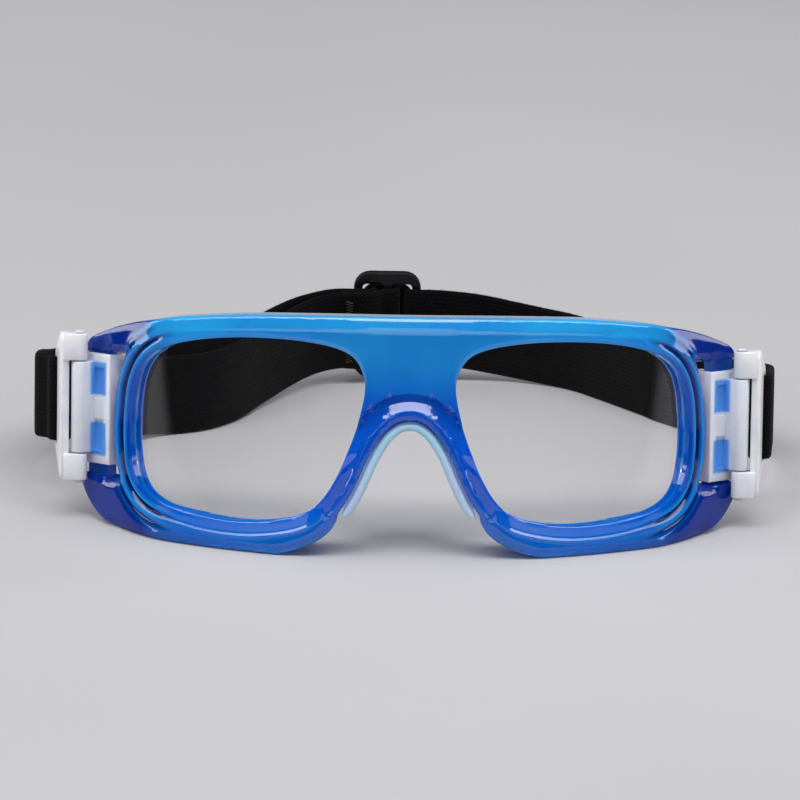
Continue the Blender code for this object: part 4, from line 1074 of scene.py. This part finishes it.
def slider_plastic():
    """Black moulded plastic with a fine grain."""
    f = Finish("slider_grey_plastic", srgb(12, 12, 14), 0.32, **{"Specular IOR Level": 0.25})
    grain = f.ramp(f.noise(220.0, 4.0), 0.3, 0.8)
    f.set(f.shader, {"Base Color": f.mix(grain, srgb(6, 6, 8), srgb(14, 14, 17))})
    f.set(f.shader, {"Roughness": f.ramp(f.noise(900.0, 4.0), 0.25, 0.8, 0.26, 0.42)})
    f.bump(f.noise(2200.0, 2.0), 0.15, 0.0001, soften=0.0003)
    return f.mat


def thread():
    """Black sewing thread."""
    f = Finish("thread_black_nylon", srgb(24, 24, 27), 0.55, **{"Sheen Weight": 0.2})
    f.set(f.shader, {"Base Color": f.mix(f.noise(3000.0, 2.0), srgb(16, 16, 18), srgb(40, 40, 44))})
    f.bump(f.noise(5000.0, 2.0), 0.3, 0.0001)
    return f.mat


def floor_paint():
    """Plain pale grey, with the blue light that the frame throws on it along its lower edge."""
    f = Finish("studio_floor", srgb(196, 195, 198), 0.75)
    plain = f.mix(f.ramp(f.noise(3.0, 2.0), 0.3, 0.7), srgb(173, 172, 175), srgb(179, 178, 182))
    x, y, _ = f.split()
    back = f.maths("ADD", y, -(WRAP_R - Y_MIDDLE) * MM)
    from_centre = f.maths("SQRT", f.maths("ADD", f.maths("MULTIPLY", x, x), f.maths("MULTIPLY", back, back)))
    gap = f.maths("ABSOLUTE", f.maths("ADD", from_centre, -(WRAP_R - 3.0) * MM))
    near = f.maths("MULTIPLY", f.ramp(gap, 0.020, 0.0), f.ramp(f.maths("ABSOLUTE", x), 0.098, 0.062))
    front = f.maths("MULTIPLY", near, f.ramp(y, 0.0, -0.02))
    f.set(f.shader, {"Base Color": f.mix(f.maths("MULTIPLY", front, 0.5), plain, srgb(90, 130, 215))})
    f.bump(f.noise(1500.0, 3.0), 0.05, 0.0003)
    return f.mat


# ---- the object ----------------------------------------------------------------------------------
blue = blue_plastic()
lens_finish = clear_lens()
web = elastic()
stitch = thread()
build_frame(blue)
build_lens("right", lens_finish)
build_lens("left", lens_finish)
build_nose_pad(silicone())
build_strap(web)
build_bar_tack("right_bar_tack_stitches", "right_bar_tack", "right_buckle_body", stitch)
build_bar_tack("slider_bar_tack_stitches", "slider_bar_tack", "slider_body", stitch)

buckle_finish = frosted("buckle_frosted", srgb(244, 246, 252))
pin_finish = frosted("pin_frosted", srgb(225, 230, 242))
kept = {"strap_slider": slider_plastic()}
for side in ("left", "right"):
    clip_finish = frosted(f"{side}_clip_frosted", srgb(238, 240, 250), side)
    softened(f"{side}_clip", f"{side}_clip_body", clip_finish, 0.0004)
    softened(f"{side}_strap_buckle", f"{side}_buckle_body", buckle_finish, 0.0005)
    kept[f"{side}_upper_pin"] = pin_finish
    kept[f"{side}_lower_pin"] = pin_finish
for node, finish in kept.items():
    obj = frame["nodes"][node]
    obj.data.materials.clear()
    obj.data.materials.append(finish)


# ---- floor, light and camera ---------------------------------------------------------------------
def build_floor():
    bpy.ops.mesh.primitive_plane_add(size=6.0, location=(0, 0.6, 0))
    floor = bpy.context.object
    floor.name = "studio_floor"
    floor.data.materials.append(floor_paint())


def area_light(name, place, aim, size, power):
    """A soft box at this place, turned to its aim."""
    data = bpy.data.lights.new(name, "AREA")
    data.shape, data.size, data.size_y, data.energy = "RECTANGLE", *size, power
    lamp = bpy.data.objects.new(name, data)
    lamp.location = place
    lamp.rotation_euler = (Vector(aim) - Vector(place)).to_track_quat("-Z", "Y").to_euler()
    bpy.context.scene.collection.objects.link(lamp)


def build_light():
    area_light("overhead", (0.0, -0.36, 1.3), (0, 0, 0.02), (2.4, 0.6), 26.0)
    area_light("behind", (0.0, 1.0, 1.3), (0, 0.3, 0), (2.0, 0.8), 2.5)
    area_light("front", (0.0, -1.9, 0.95), (0, 0, 0.03), (3.2, 1.0), 10.0)
    area_light("side_left", (-1.2, 0.12, 0.5), (0, 0, 0.03), (0.6, 0.7), 8.0)
    area_light("side_right", (1.25, 0.12, 0.5), (0, 0, 0.03), (0.6, 0.7), 6.5)
    room = bpy.data.worlds.new("studio")
    room.use_nodes = True
    room.node_tree.nodes["Background"].inputs["Color"].default_value = (0.78, 0.8, 0.84, 1.0)
    room.node_tree.nodes["Background"].inputs["Strength"].default_value = 0.05
    bpy.context.scene.world = room
    bpy.context.scene.view_settings.view_transform = "Standard"


CAMERA_PLACE, CAMERA_LENS = (-0.00238, -1.19844, 0.4164), 234.8
CAMERA_DOWN, CAMERA_ROLL = 18.5, 0.85  # degrees


def build_camera():
    data = bpy.data.cameras.new("camera")
    data.lens, data.sensor_width = CAMERA_LENS, 36.0
    data.clip_end = 20.0
    camera = bpy.data.objects.new("camera", data)
    camera.matrix_world = (
        Matrix.Translation(CAMERA_PLACE)
        @ Matrix.Rotation(math.radians(90 - CAMERA_DOWN), 4, "X")
        @ Matrix.Rotation(math.radians(CAMERA_ROLL), 4, "Z")
    )
    bpy.context.scene.collection.objects.link(camera)
    bpy.context.scene.camera = camera


build_floor()
build_light()
build_camera()
